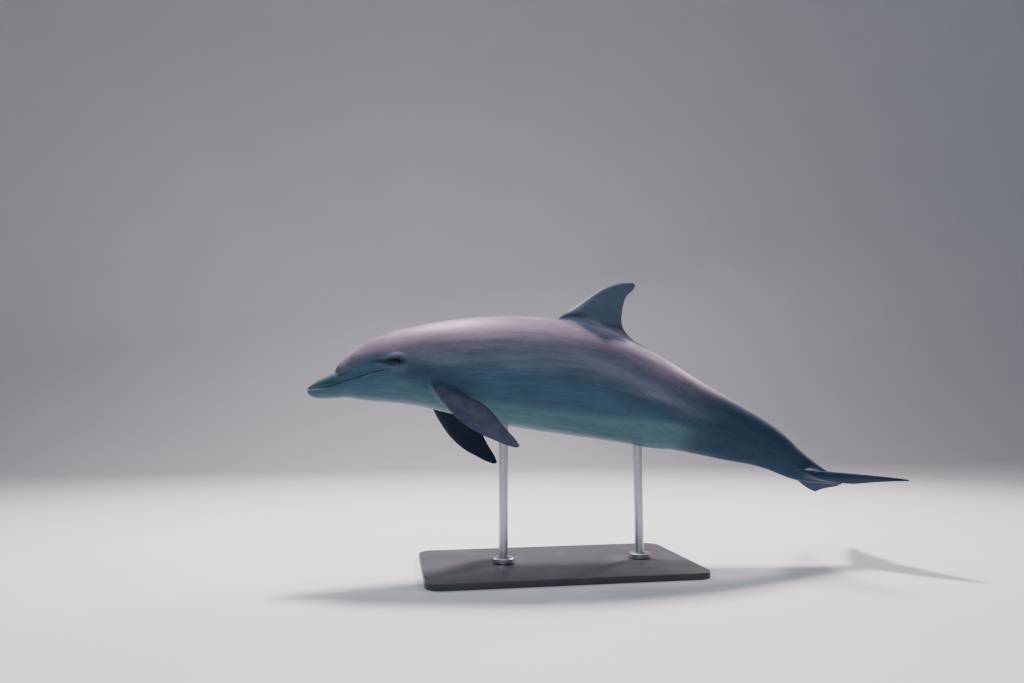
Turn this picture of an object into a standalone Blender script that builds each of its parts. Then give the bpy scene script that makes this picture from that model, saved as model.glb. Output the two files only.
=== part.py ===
"""A life-size bottlenose dolphin gliding with a slight bank, on a flat base with two rods.

Metres, +Z up.  The beak points along -X and the dolphin's left side faces -Y.  The origin is on
the floor, under the middle of the base.  The body is drawn once, as named cross-sections along a
bent axis, and thin cuts part it into the pieces that a person would name.  "High" means above
the axis, "out" means sideways from the body's middle plane, and a place is a distance from the
beak's tip along the axis.
"""

import math
from dataclasses import dataclass

import bmesh
import bpy
import numpy as np

# ------------------------------------------------------------------ driving sizes
SEAM = 0.0003  # gap between pieces that touch
SKIN_GAP = 0.0006  # what a fin or rod keeps clear of the body, along the body's own rays

BANK = math.radians(10)  # roll about the body's length, left side up
SNOUT_X = -1.010  # the beak's tip, from the middle of the base
SNOUT_Z = 0.720  # its height above the floor

EYE_RADIUS = 0.021
EYE_PLACE = (0.349, 0.1075, 0.0925)  # place, out and high
EYE_SIDES, EYE_LEVELS = 16, 10

BASE_LENGTH, BASE_WIDTH, BASE_THICK = 1.10, 0.62, 0.025
BASE_CORNER = 0.06
ROD_RADIUS = 0.019
ROD_AT = {"front": -0.22, "rear": 0.36}  # along X
ROD_REACH = 0.62  # a height inside the body, from which the body's own shape is taken
COLLAR_RADIUS, COLLAR_HEIGHT = 0.045, 0.022
ROUND_ROD = 28

# How finely the pieces are faceted.
BODY_POINTS = 40  # round a body section
FIN_POINTS = 7  # along each side of a fin section
HEAD_STEP, TRUNK_STEP, STOCK_STEP = 0.021, 0.060, 0.070

# Where thin cuts part the body.
BROW_CUT, GAPE_CUT, NECK_CUT = 0.108, 0.300, 0.460
WAIST_CUT, LOIN_CUT, STOCK_END = 0.960, 1.420, 2.310


@dataclass(frozen=True)
class Section:
    """A cross-section: its place, and its reach up, down and out."""

    name: str
    at: float
    top: float
    bottom: float
    side: float
    middle: float  # height of the widest level
    keel: float = 1.0  # 1 is an ellipse, and more draws the top and bottom to an edge


# Melon, cranium, chest, belly and tail stock.
TRUNK = (
    Section("brow foot", 0.104, 0.078, 0.040, 0.000, 0.060),
    Section("melon front", 0.130, 0.122, 0.000, 0.047, 0.060),
    Section("melon", 0.160, 0.156, -0.020, 0.067, 0.065),
    Section("melon crown", 0.200, 0.186, -0.034, 0.087, 0.070),
    Section("forehead", 0.270, 0.221, -0.041, 0.107, 0.082),
    Section("eye", 0.350, 0.249, -0.050, 0.124, 0.088),
    Section("neck", 0.450, 0.273, -0.066, 0.148, 0.090),
    Section("shoulder", 0.600, 0.300, -0.102, 0.177, 0.088),
    Section("chest", 0.800, 0.318, -0.143, 0.198, 0.082),
    Section("belly", 1.000, 0.320, -0.167, 0.202, 0.078),
    Section("fin", 1.200, 0.304, -0.169, 0.184, 0.075),
    Section("loin", 1.400, 0.265, -0.146, 0.150, 0.068, 1.05),
    Section("vent", 1.600, 0.228, -0.100, 0.108, 0.065, 1.15),
    Section("stock", 1.800, 0.197, -0.066, 0.071, 0.062, 1.30),
    Section("narrow stock", 2.000, 0.161, -0.026, 0.044, 0.060, 1.40),
    Section("fluke root", 2.150, 0.113, -0.011, 0.033, 0.036, 1.40),
    Section("fluke middle", 2.250, 0.079, 0.010, 0.021, 0.032, 1.30),
    Section("notch", 2.352, 0.033, 0.025, 0.000, 0.029, 1.10),
)

# Beak and jaw, which run on inside the head as its cheeks.
BEAK = (
    Section("tip", 0.000, 0.002, -0.004, 0.000, 0.000),
    Section("lips", 0.012, 0.017, -0.022, 0.017, 0.000),
    Section("beak front", 0.030, 0.032, -0.031, 0.026, 0.000),
    Section("beak", 0.060, 0.049, -0.034, 0.035, 0.002),
    Section("crease", 0.110, 0.074, -0.032, 0.048, 0.012),
    Section("cheek", 0.160, 0.088, -0.030, 0.065, 0.022),
    Section("gape", 0.230, 0.100, -0.037, 0.087, 0.034),
    Section("jaw", 0.320, 0.120, -0.046, 0.106, 0.046),
    Section("throat", 0.420, 0.120, -0.058, 0.110, 0.056),
)

# Place and height of points along the closed mouth.
MOUTH = ((0.000, 0.002), (0.050, 0.003), (0.083, 0.007), (0.114, 0.014), (0.153, 0.026),
         (0.185, 0.035), (0.223, 0.042), (0.253, 0.052), (0.300, 0.059))

# How many degrees the axis falls, at places along it.
AXIS_FALL = ((0.00, 0), (0.60, 0), (1.00, 4), (1.40, 20), (1.85, 22), (2.05, 27), (2.20, 18),
             (2.40, 8))


@dataclass(frozen=True)
class Fin:
    """A fin's front and back edges in its own plane, and its thickness along its span."""

    front: tuple
    back: tuple
    thick: tuple  # share of the span, and whole thickness there
    rows: int = 13


# Points are (aft of the beak's tip, above it).
DORSAL = Fin(
    front=((1.000, 0.270), (1.041, 0.3235), (1.133, 0.389), (1.208, 0.4425), (1.256, 0.471),
           (1.300, 0.489), (1.345, 0.500), (1.388, 0.502)),
    back=((1.470, 0.120), (1.435, 0.1865), (1.3855, 0.2225), (1.353, 0.2536), (1.3325, 0.287),
          (1.328, 0.320), (1.333, 0.357), (1.343, 0.398), (1.363, 0.4395), (1.390, 0.463),
          (1.403, 0.482)),
    thick=((0.0, 0.058), (0.3, 0.046), (0.6, 0.026), (0.9, 0.014), (1.0, 0.008)),
    rows=15,
)
# Points are (along the span from the root, back across the flipper).
FLIPPER = Fin(
    front=((-0.060, -0.052), (0.000, -0.069), (0.044, -0.078), (0.100, -0.086), (0.167, -0.085),
           (0.215, -0.077), (0.268, -0.060), (0.316, -0.040), (0.345, -0.020)),
    back=((-0.060, 0.012), (0.000, 0.016), (0.060, 0.024), (0.102, 0.033), (0.150, 0.038),
          (0.200, 0.027), (0.230, 0.016), (0.275, 0.008), (0.315, 0.006), (0.351, -0.006)),
    thick=((0.0, 0.034), (0.3, 0.028), (0.7, 0.015), (1.0, 0.007)),
)
# Points are (out from the middle, aft of the root).
FLUKE = Fin(
    front=((0.000, -0.015), (0.030, 0.004), (0.080, 0.048), (0.140, 0.100), (0.200, 0.155),
           (0.260, 0.218), (0.295, 0.264), (0.312, 0.296)),
    back=((0.000, 0.229), (0.015, 0.240), (0.050, 0.248), (0.120, 0.256), (0.190, 0.267),
          (0.250, 0.284), (0.290, 0.297), (0.311, 0.304)),
    thick=((0.0, 0.040), (0.2, 0.028), (0.6, 0.015), (1.0, 0.006)),
)
FIN_EDGE = 0.0022  # thickness left along a trailing edge
ROW_CROWDING = 1.25  # how much closer a fin's rows stand at its tip
FLIPPER_ROOT = (0.570, -0.1435, -0.0305)  # the left one, in x, y and z from the beak's tip
FLIPPER_SPAN = (0.666, -0.373, -0.646)  # from the left root towards the tip
FLUKE_ROOT = (2.060, 0.0, -0.346)
FLUKE_FALL = math.radians(15)  # how steeply the flukes' plane falls aft
FLUKE_CURL = 0.07  # the tips rise by this times the square of their distance out

# How the first rings crowd towards the beak's tip and the brow.
TIP_START, TIP_REACH, BROW_REACH = 0.0002, 0.030, 0.032
BEAK_START, BROW_END, ROOT_START, ROOT_END = 0.042, 0.155, 2.050, 2.080

# The axis is summed over many short steps.
BEND_END, BEND_STEPS = 2.5, 2500

# The rays that find the body's surface.
RAY_REACH, RAY_STEP, RAY_HALVINGS = 0.32, 0.001, 14
OUTSIDE = 9.0  # what a form's value is beyond its ends


# ------------------------------------------------------------------ curves and forms
def spread(points, places):
    """A smooth curve through (place, value) points, in cubic pieces that share slopes."""
    at = np.array([point[0] for point in points], float)
    value = np.array([point[1] for point in points], float)
    slope = np.gradient(value, at)
    low = np.clip(np.searchsorted(at, places, side="right") - 1, 0, len(at) - 2)
    step = at[low + 1] - at[low]
    t = np.clip((places - at[low]) / step, 0, 1)
    start = (2 * t**3 - 3 * t**2 + 1) * value[low] + (t**3 - 2 * t**2 + t) * step * slope[low]
    end = (3 * t**2 - 2 * t**3) * value[low + 1] + (t**3 - t**2) * step * slope[low + 1]
    return start + end


def measure(sections, places):
    """Reach up, down and out, height of the middle, and keel, at each place.

    Reaches are spread as squares, so that an end section of no width comes out round.
    """
    def curve(read):
        return spread([(part.at, read(part)) for part in sections], places)

    def reach(read):
        return np.sqrt(np.maximum(curve(lambda part: read(part) ** 2), 1e-10))

    up = reach(lambda part: part.top - part.middle)
    down = reach(lambda part: part.middle - part.bottom)
    side = reach(lambda part: part.side)
    return up, down, side, curve(lambda part: part.middle), curve(lambda part: part.keel)


def form_value(sections, places, high, out):
    """Under 1 inside the form that these sections draw, and over 1 outside it."""
    up, down, side, middle, keel = measure(sections, places)
    rise = high - middle
    value = (np.abs(out) / side) ** (2 / keel) + (rise / np.where(rise > 0, up, down)) ** 2
    beyond = (places < sections[0].at) | (places > sections[-1].at)
    return np.where(beyond, OUTSIDE, value)


def core(places):
    """Height that each ring is drawn from: the mouth, then the middle of the body."""
    mouth = spread(MOUTH, places)
    body = measure(TRUNK, places)[3]
    share = np.clip((places - GAPE_CUT) / (NECK_CUT - GAPE_CUT), 0, 1)
    return mouth + (body - mouth) * share * share * (3 - 2 * share)


def body_rings(places, grow=0.0):
    """Heights and sideways distances of rings round the body, one row for each place.

    Every point is the outermost one on its ray that lies in the trunk or the beak.  Behind the
    eye a ray's direction is stretched to the section's height and width.
    """
    places = np.asarray(places, float)[:, None]
    turn = np.linspace(0, 2 * math.pi, BODY_POINTS, endpoint=False)[None, :]
    start = core(places)
    up, down, side = measure(TRUNK, places)[:3]
    stretch = np.where(places < EYE_PLACE[0], 1.0, np.maximum(up, down) / side)
    aim = np.stack([np.cos(turn) * stretch, np.sin(turn) * np.ones_like(stretch)], -1)
    aim /= np.linalg.norm(aim, axis=-1, keepdims=True)

    def is_in(distance):
        high = start + aim[..., 0] * distance
        out = aim[..., 1] * distance
        trunk = form_value(TRUNK, places, high, out)
        return np.minimum(trunk, form_value(BEAK, places, high, out)) < 1

    near = np.zeros(aim.shape[:2])
    for distance in np.arange(RAY_STEP, RAY_REACH, RAY_STEP):
        near = np.where(is_in(distance), distance, near)
    far = near + RAY_STEP
    for _ in range(RAY_HALVINGS):
        half = (near + far) / 2
        found = is_in(half)
        near = np.where(found, half, near)
        far = np.where(found, far, half)
    return start + aim[..., 0] * (near + grow), aim[..., 1] * (near + grow)


def bent(places, high, out):
    """Points in x, y and z for heights and sideways distances along the bent axis."""
    fine = np.linspace(0, BEND_END, BEND_STEPS + 1)
    fall = np.radians(spread(AXIS_FALL, fine))
    step = BEND_END / BEND_STEPS
    aft = np.concatenate([[0], np.cumsum(np.cos(fall[:-1]) * step)])
    drop = np.concatenate([[0], np.cumsum(np.sin(fall[:-1]) * step)])
    lean = np.interp(places, fine, fall)[:, None]
    x = np.interp(places, fine, aft)[:, None] + np.sin(lean) * high
    z = np.cos(lean) * high - np.interp(places, fine, drop)[:, None]
    return np.stack([x, -out, z], -1)


# ------------------------------------------------------------------ meshes
def new_object(name, mesh, collection, material=None):
    """Put a mesh into a collection as an object, with its material."""
    thing = bpy.data.objects.new(name, mesh)
    collection.objects.link(thing)
    if material is not None:
        mesh.materials.append(material)
    return thing


def mesh_of(form, name):
    """A smooth-shaded mesh from a bmesh, facing out."""
    if form.calc_volume(signed=True) < 0:
        bmesh.ops.reverse_faces(form, faces=form.faces)
    mesh = bpy.data.meshes.new(name)
    form.to_mesh(mesh)
    form.free()
    mesh.shade_smooth()
    mesh.set_sharp_from_angle(angle=math.radians(40))
    return mesh


def loft(name, rings):
    """A closed mesh through rings of equal count, with a fan of triangles over each end."""
    form = bmesh.new()
    grid = [[form.verts.new(point) for point in ring] for ring in rings]
    count = len(grid[0])
    for low, high in zip(grid[:-1], grid[1:]):
        for i in range(count):
            j = (i + 1) % count
            form.faces.new((low[i], low[j], high[j], high[i]))
    for ring, step in ((grid[0], -1), (grid[-1], 1)):
        middle = form.verts.new(np.mean([vert.co for vert in ring], axis=0))
        for i in range(count):
            form.faces.new((ring[i], ring[(i + step) % count], middle))
    bmesh.ops.remove_doubles(form, verts=form.verts, dist=1e-6)
    bmesh.ops.dissolve_degenerate(form, edges=form.edges, dist=1e-6)
    return mesh_of(form, name)


def take_off(target, cutter):
    """Cut the cutter's shape from the target."""
    cut = target.modifiers.new(cutter.name, "BOOLEAN")
    cut.operation = "DIFFERENCE"
    cut.solver = "EXACT"
    cut.object = cutter


def finish(name, colour, roughness, metallic=0.0):
    """A plain material."""
    material = bpy.data.materials.new(name)
    material.use_nodes = True
    shader = material.node_tree.nodes["Principled BSDF"]
    shader.inputs["Base Color"].default_value = (*colour, 1)
    shader.inputs["Roughness"].default_value = roughness
    shader.inputs["Metallic"].default_value = metallic
    return material


# ------------------------------------------------------------------ body
def stations(start, end, step):
    """Even places from start to end, about a step apart."""
    return np.linspace(start, end, max(2, round((end - start) / step) + 1))


def rounding(start, reach, count):
    """Places that crowd towards a rounded end, by the square of a count."""
    return start + reach * (np.arange(count + 1) / count) ** 2


def body_mesh(name, places, grow=0.0, half=None):
    """A closed length of the body.

    half "above" keeps only what is over the mouth in front of the gape, and "below" keeps only
    what is under the mouth.
    """
    high, out = body_rings(places, grow)
    mouth = core(places)[:, None]
    if half == "above":
        high = np.where(places[:, None] < GAPE_CUT, np.maximum(high, mouth + SEAM / 2), high)
    if half == "below":
        high = np.minimum(high, mouth - SEAM / 2)
    return loft(name, bent(places, high, out))


def build_body(collection, cutters, slate, pale):
    """Beak, jaw, head, thorax, abdomen and tail stock, and the cutter for what joins them."""
    tip = rounding(TIP_START, TIP_REACH, 6)
    brow = rounding(BROW_CUT, BROW_REACH, 7)
    lengths = {
        "upper_beak": np.concatenate([tip, stations(BEAK_START, BROW_CUT - SEAM, HEAD_STEP / 1.6)]),
        "lower_jaw": np.concatenate([tip, stations(BEAK_START, GAPE_CUT - SEAM, HEAD_STEP)]),
        "head": np.concatenate([brow, stations(BROW_END, GAPE_CUT - SEAM / 2, HEAD_STEP),
                                stations(GAPE_CUT + SEAM / 2, NECK_CUT - SEAM, HEAD_STEP * 1.5)]),
        "thorax": stations(NECK_CUT, WAIST_CUT - SEAM, TRUNK_STEP),
        "abdomen": stations(WAIST_CUT, LOIN_CUT - SEAM, TRUNK_STEP),
        "tail_stock": np.concatenate([stations(LOIN_CUT, ROOT_START, STOCK_STEP),
                                      stations(ROOT_END, STOCK_END, STOCK_STEP / 1.5)]),
    }
    halves = {"upper_beak": "above", "lower_jaw": "below", "head": "above"}
    made = {}
    for name, places in lengths.items():
        mesh = body_mesh(name, places, half=halves.get(name))
        made[name] = new_object(name, mesh, collection, pale if name == "lower_jaw" else slate)
    behind = lengths["head"][lengths["head"] > EYE_PLACE[0]]
    whole = np.concatenate([behind, lengths["thorax"], lengths["abdomen"], lengths["tail_stock"],
                            [STOCK_END + SEAM]])
    sleeve = new_object("body_cutter", body_mesh("body_cutter", whole, grow=SKIN_GAP), cutters)
    return made["head"], sleeve


# ------------------------------------------------------------------ fins
def edge_points(points, shares):
    """Points at shares of the length of the curve through an edge's points."""
    points = np.array(points, float)
    steps = np.linalg.norm(np.diff(points, axis=0), axis=1)
    walked = np.concatenate([[0], np.cumsum(steps)]) / steps.sum()
    return np.stack([spread(list(zip(walked, points[:, k])), shares) for k in (0, 1)], -1)


def fin_rings(fin):
    """Closed rings round a fin, in its own two directions and through its thickness.

    Each ring is a symmetric foil: blunt in front, thickest a third of the way back, and drawn
    out to the trailing edge.
    """
    shares = 1 - (1 - np.linspace(0, 1, fin.rows)) ** ROW_CROWDING
    lead = edge_points(fin.front, shares)[:, None, :]
    trail = edge_points(fin.back, shares)[:, None, :]
    chord = (1 - np.cos(np.linspace(0, math.pi, FIN_POINTS)))[None, :] / 2
    foil = (1.4845 * np.sqrt(chord) - 0.63 * chord - 1.758 * chord**2 + 1.4215 * chord**3
            - 0.518 * chord**4)
    half = spread(fin.thick, shares)[:, None] * foil + FIN_EDGE / 2 * np.sqrt(chord)
    flat = lead + (trail - lead) * chord[..., None]
    one_side = np.concatenate([flat, half[..., None]], -1)
    return np.concatenate([one_side, one_side[:, :0:-1] * (1, 1, -1)], 1)


def placed(rings, origin, *directions):
    """Rings in space, from where they start and their own three directions."""
    return rings @ np.array(directions, float) + np.array(origin, float)


def unit(vector):
    """The vector at length one."""
    return np.array(vector, float) / np.linalg.norm(vector)


def flipper_rings():
    """Rings of the left flipper, whose chord lies as nearly along the body as its span lets it."""
    span = unit(FLIPPER_SPAN)
    through = unit(np.cross(span, (1, 0, 0)))
    return placed(fin_rings(FLIPPER), FLIPPER_ROOT, span, np.cross(through, span), through)


def fluke_rings():
    """Rings of the left fluke, which falls aft and curls up to its tip."""
    flat = fin_rings(FLUKE)
    flat[..., 2] += FLUKE_CURL * flat[..., 0] ** 2
    aft = (math.cos(FLUKE_FALL), 0, -math.sin(FLUKE_FALL))
    rise = (math.sin(FLUKE_FALL), 0, math.cos(FLUKE_FALL))
    return placed(flat, np.array(FLUKE_ROOT) - (0, SEAM / 2, 0), (0, -1, 0), aft, rise)


def build_fins(collection, sleeve, slate, dark):
    """Dorsal fin, flippers and flukes, each cut to the body that it stands on."""
    dorsal = placed(fin_rings(DORSAL), (0, 0, 0), (1, 0, 0), (0, 0, 1), (0, 1, 0))
    fins = [new_object("dorsal_fin", loft("dorsal_fin", dorsal), collection, slate)]
    for name, rings, material in (("flipper", flipper_rings(), dark), ("fluke", fluke_rings(), slate)):
        for side, mirror in (("left", 1), ("right", -1)):
            mesh = loft(f"{name}_{side}", rings * (1, mirror, 1))
            fins.append(new_object(f"{name}_{side}", mesh, collection, material))
    for fin in fins:
        take_off(fin, sleeve)


# ------------------------------------------------------------------ eyes
def ball(name, radius, collection, material=None):
    """A round ball."""
    form = bmesh.new()
    bmesh.ops.create_uvsphere(form, u_segments=EYE_SIDES, v_segments=EYE_LEVELS, radius=radius)
    return new_object(name, mesh_of(form, name), collection, material)


def build_eyes(collection, cutters, head, glass):
    """Two eyes, each in a socket of the head."""
    along, out, high = EYE_PLACE
    for side, sign in (("left", -1), ("right", 1)):
        eye = ball(f"eye_{side}", EYE_RADIUS, collection, glass)
        socket = ball(f"socket_{side}", EYE_RADIUS + SKIN_GAP, cutters)
        for thing in (eye, socket):
            thing.location = (along, sign * out, high)
        take_off(head, socket)


# ------------------------------------------------------------------ stand
def upright(name, radius, low, high, x, collection, material):
    """A round post between two heights."""
    form = bmesh.new()
    bmesh.ops.create_cone(form, cap_ends=True, segments=ROUND_ROD, radius1=radius, radius2=radius,
                          depth=high - low)
    bmesh.ops.translate(form, verts=form.verts, vec=(0, 0, (high + low) / 2))
    post = new_object(name, mesh_of(form, name), collection, material)
    post.location.x = x
    return post


def build_base(collection, paint):
    """A flat plate with round corners."""
    form = bmesh.new()
    bmesh.ops.create_cube(form, size=1)
    bmesh.ops.scale(form, verts=form.verts, vec=(BASE_LENGTH, BASE_WIDTH, BASE_THICK))
    bmesh.ops.translate(form, verts=form.verts, vec=(0, 0, BASE_THICK / 2))
    corners = [edge for edge in form.edges if edge.verts[0].co.xy == edge.verts[1].co.xy]
    bmesh.ops.bevel(form, geom=corners, offset=BASE_CORNER, segments=6, profile=0.5, affect="EDGES")
    new_object("stand_base", mesh_of(form, "stand_base"), collection, paint)


def build_stand(collection, sleeve, paint, steel):
    """The base, and two rods in collars that reach up to the belly."""
    build_base(collection, paint)
    foot = BASE_THICK + SEAM
    shoulder = foot + COLLAR_HEIGHT
    for place, x in ROD_AT.items():
        upright(f"stand_collar_{place}", COLLAR_RADIUS, foot, shoulder, x, collection, steel)
        rod = upright(f"stand_rod_{place}", ROD_RADIUS, shoulder + SEAM, ROD_REACH, x, collection,
                      steel)
        take_off(rod, sleeve)


# ------------------------------------------------------------------ assembly
def main():
    for thing in list(bpy.data.objects):
        bpy.data.objects.remove(thing, do_unlink=True)
    dolphin = bpy.data.collections.new("bottlenose_dolphin")
    cutters = bpy.data.collections.new("cutters")
    for collection in (dolphin, cutters):
        bpy.context.scene.collection.children.link(collection)
    slate = finish("slate_skin", (0.11, 0.12, 0.15), 0.45)
    dark = finish("flipper_skin", (0.07, 0.07, 0.09), 0.45)
    pale = finish("pale_skin", (0.45, 0.44, 0.44), 0.45)
    glass = finish("eye", (0.02, 0.015, 0.012), 0.08)
    paint = finish("base_paint", (0.05, 0.05, 0.055), 0.5)
    steel = finish("rod_steel", (0.55, 0.56, 0.58), 0.3, metallic=1.0)

    head, sleeve = build_body(dolphin, cutters, slate, pale)
    build_fins(dolphin, sleeve, slate, dark)
    build_eyes(dolphin, cutters, head, glass)
    pose = bpy.data.objects.new("pose", None)
    for thing in [*dolphin.objects, *cutters.objects]:
        thing.parent = pose
    dolphin.objects.link(pose)
    pose.location = (SNOUT_X, 0, SNOUT_Z)
    pose.rotation_euler.x = -BANK

    build_stand(dolphin, sleeve, paint, steel)
    for cutter in cutters.objects:
        cutter.hide_render = True
        cutter.display_type = "WIRE"


main()
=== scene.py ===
"""A life-size bottlenose dolphin on a plain display stand: skin, eyes, stand, lights and camera.

Metres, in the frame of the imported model.  The body is worked out first in its own directions: x
runs aft from the beak's tip, y to the animal's right, and z up.  "Place" is a distance along the
bent axis from the beak's tip, "high" is above that axis, and "out" is sideways to the left.

A span is a pair of numbers: a start and an end, the sizes along two directions, or a place and
a height.
"""

import logging
import math
from dataclasses import dataclass
from enum import Enum
from typing import Callable, Mapping, Sequence

import bpy
import numpy as np
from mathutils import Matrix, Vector

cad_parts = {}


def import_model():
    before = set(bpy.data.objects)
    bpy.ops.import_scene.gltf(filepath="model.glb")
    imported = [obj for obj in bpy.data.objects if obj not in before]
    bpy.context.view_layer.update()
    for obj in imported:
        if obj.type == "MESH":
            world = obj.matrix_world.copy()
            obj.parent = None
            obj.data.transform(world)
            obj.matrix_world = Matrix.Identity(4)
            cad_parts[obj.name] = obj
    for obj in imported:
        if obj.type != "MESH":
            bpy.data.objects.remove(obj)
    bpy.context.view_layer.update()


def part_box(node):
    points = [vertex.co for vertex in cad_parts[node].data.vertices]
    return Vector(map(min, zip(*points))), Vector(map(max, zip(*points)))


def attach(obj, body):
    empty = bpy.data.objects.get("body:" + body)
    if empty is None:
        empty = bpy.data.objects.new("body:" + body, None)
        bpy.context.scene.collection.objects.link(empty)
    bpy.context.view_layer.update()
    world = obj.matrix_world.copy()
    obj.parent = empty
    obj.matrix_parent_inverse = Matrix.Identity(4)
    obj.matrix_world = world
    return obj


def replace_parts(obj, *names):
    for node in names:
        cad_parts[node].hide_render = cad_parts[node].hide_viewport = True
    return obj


Array = np.ndarray
Triple = tuple[float, float, float]
Colour = Triple
Span = tuple[float, float]
Points = tuple[Span, ...]

LOG = logging.getLogger("dolphin")
BODY = "root"


# ---- numbers along a curve
def ease(low: float, high: float, value: Array) -> Array:
    """0 below low, 1 above high, and a smooth step (3t^2 - 2t^3) between.

    Args:
        low: Where the step starts.
        high: Where it ends.
        value: What is stepped.

    Returns:
        The step at each value.
    """
    t = np.clip((np.asarray(value) - low) / (high - low), 0, 1)
    return t * t * (3 - 2 * t)


def bell(value: Array, width: float) -> Array:
    """A bump of height 1 at zero: e to minus (value / width) squared."""
    return np.exp(-((value / width) ** 2))


def window(value: Array, start: float, end: float, soft: float) -> Array:
    """1 between start and end, with soft steps outside them."""
    return ease(start - soft, start, value) * (1 - ease(end, end + soft, value))


def spread(points: Sequence[Span], places: Array) -> Array:
    """A smooth curve through points, in cubic Hermite pieces that share slopes.

    Args:
        points: (place, value) pairs in order.
        places: Where the curve is read.

    Returns:
        The values there, held level past both ends.
    """
    at = np.array([point[0] for point in points], float)
    value = np.array([point[1] for point in points], float)
    slope = np.gradient(value, at)
    low = np.clip(np.searchsorted(at, places, side="right") - 1, 0, len(at) - 2)
    step = at[low + 1] - at[low]
    t = np.clip((places - at[low]) / step, 0, 1)
    start = (2 * t**3 - 3 * t**2 + 1) * value[low] + (t**3 - 2 * t**2 + t) * step * slope[low]
    end = (3 * t**2 - 2 * t**3) * value[low + 1] + (t**3 - t**2) * step * slope[low + 1]
    return start + end


def crowded(start: float, end: float, spacing: Callable[[Array], Array],
            count: int | None = None) -> Array:
    """Numbers from start to end whose steps follow a spacing, by summing 1 / spacing.

    Args:
        start: The first number.
        end: The last number.
        spacing: The step wanted near a number.
        count: How many steps, or None for as many as the spacing asks.

    Returns:
        The numbers, both ends included.
    """
    fine = np.linspace(start, end, 4000)
    middles = (fine[1:] + fine[:-1]) / 2
    total = np.concatenate([[0], np.cumsum(np.diff(fine) / spacing(middles))])
    steps = count or max(1, round(float(total[-1])))
    return np.interp(np.linspace(0, total[-1], steps + 1), total, fine)


def unit(vectors: Array) -> Array:
    """The vectors at length one."""
    vectors = np.asarray(vectors, float)
    return vectors / np.maximum(np.linalg.norm(vectors, axis=-1, keepdims=True), 1e-12)


def along(vectors: Array, direction: Array) -> Array:
    """How far each vector reaches in a direction: their dot product, with its last axis kept."""
    return (vectors * direction).sum(-1, keepdims=True)


@dataclass(frozen=True)
class Swell:
    """A low bell-shaped rise along one direction, or a dent where its height is under 0."""

    height: float
    middle: float
    width: float

    def over(self, value: Array) -> Array:
        """Its height times a bell of the distance from its middle."""
        return self.height * bell(value - self.middle, self.width)


@dataclass(frozen=True)
class Dent:
    """A bell-shaped dent across two directions, or a rise where its height is over 0."""

    height: float
    middle: Span
    width: Span

    def over(self, one: Array, two: Array) -> Array:
        """Its height times a bell of the distance from its middle along each direction."""
        first = bell(one - self.middle[0], self.width[0])
        return self.height * first * bell(two - self.middle[1], self.width[1])


# ---- meshes
def loft_faces(rows: int, columns: int) -> list[list[int]]:
    """Quads between closed rings, and a fan of triangles to a point past each end.

    Args:
        rows: Number of rings, whose points come ring by ring.
        columns: Points in a ring.

    Returns:
        The faces' corners.  The two end points follow the last ring.
    """
    low = np.arange(rows - 1)[:, None] * columns + np.arange(columns)[None, :]
    side = (np.arange(columns) + 1) % columns - np.arange(columns)
    quads = np.stack([low, low + side, low + side + columns, low + columns], -1).reshape(-1, 4)
    ring = np.arange(columns)
    first = np.stack([(ring + 1) % columns, ring, np.full(columns, rows * columns)], -1)
    last_ring = (rows - 1) * columns
    last = np.stack([last_ring + ring, last_ring + (ring + 1) % columns,
                     np.full(columns, rows * columns + 1)], -1)
    return quads.tolist() + first.tolist() + last.tolist()


def closed_loft(name: str, rings: Array, start: Array, end: Array) -> bpy.types.Mesh:
    """A closed smooth mesh through rings, facing out.

    Args:
        name: The mesh's name.
        rings: Points as (ring, point in the ring, x y z).
        start: The point that closes the first ring.
        end: The point that closes the last ring.

    Returns:
        The mesh.
    """
    rows, columns = rings.shape[:2]
    points = np.concatenate([rings.reshape(-1, 3), [start, end]])
    faces = loft_faces(rows, columns)
    halves = [face[:3] for face in faces]
    halves += [[face[0], *face[2:]] for face in faces if len(face) == 4]
    one, two, three = (points - points.mean(0))[np.array(halves).T]
    volume = (one * np.cross(two, three)).sum()
    if volume < 0:
        faces = [face[::-1] for face in faces]
    mesh = bpy.data.meshes.new(name)
    mesh.from_pydata(points.tolist(), [], faces)
    mesh.shade_smooth()
    return mesh


def corners(mesh: bpy.types.Mesh) -> Array:
    """A mesh's vertices, as (vertex, x y z).

    Args:
        mesh: The mesh.

    Returns:
        Its points.
    """
    points = np.empty(len(mesh.vertices) * 3)
    mesh.vertices.foreach_get("co", points)
    return points.reshape(-1, 3)


def store(mesh: bpy.types.Mesh, name: str, values: Array) -> None:
    """Write three numbers at each vertex under a name."""
    layer = mesh.attributes.new(name, "FLOAT_VECTOR", "POINT")
    layer.data.foreach_set("vector", np.ascontiguousarray(values, np.float32).ravel())


def turned(name: str, profile: Points, centre: Vector, sides: int = 64) -> bpy.types.Mesh:
    """A round closed form: a profile of (radius, height) carried round a vertical axis.

    Args:
        name: The mesh's name.
        profile: Points from the bottom of the axis to its top.
        centre: A point on the axis, from which heights are counted.
        sides: Points round the axis.

    Returns:
        The mesh.
    """
    turn = np.linspace(0, 2 * math.pi, sides, endpoint=False)
    radius, height = np.array(profile, float).T
    rings = np.stack([radius[:, None] * np.cos(turn), radius[:, None] * np.sin(turn),
                      np.repeat(height[:, None], sides, 1)], -1) + np.array(centre)
    return closed_loft(name, rings, rings[0].mean(0), rings[-1].mean(0))


def show(name: str, mesh: bpy.types.Mesh,
         material: bpy.types.Material | None = None) -> bpy.types.Object:
    """Put a mesh into the scene as an object at the origin, with its material.

    Args:
        name: The object's name.
        mesh: Its mesh.
        material: Its finish, or None for what is only a tool.

    Returns:
        The object.
    """
    thing = bpy.data.objects.new(name, mesh)
    bpy.context.scene.collection.objects.link(thing)
    if material is not None:
        mesh.materials.clear()
        mesh.materials.append(material)
    return thing


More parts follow.
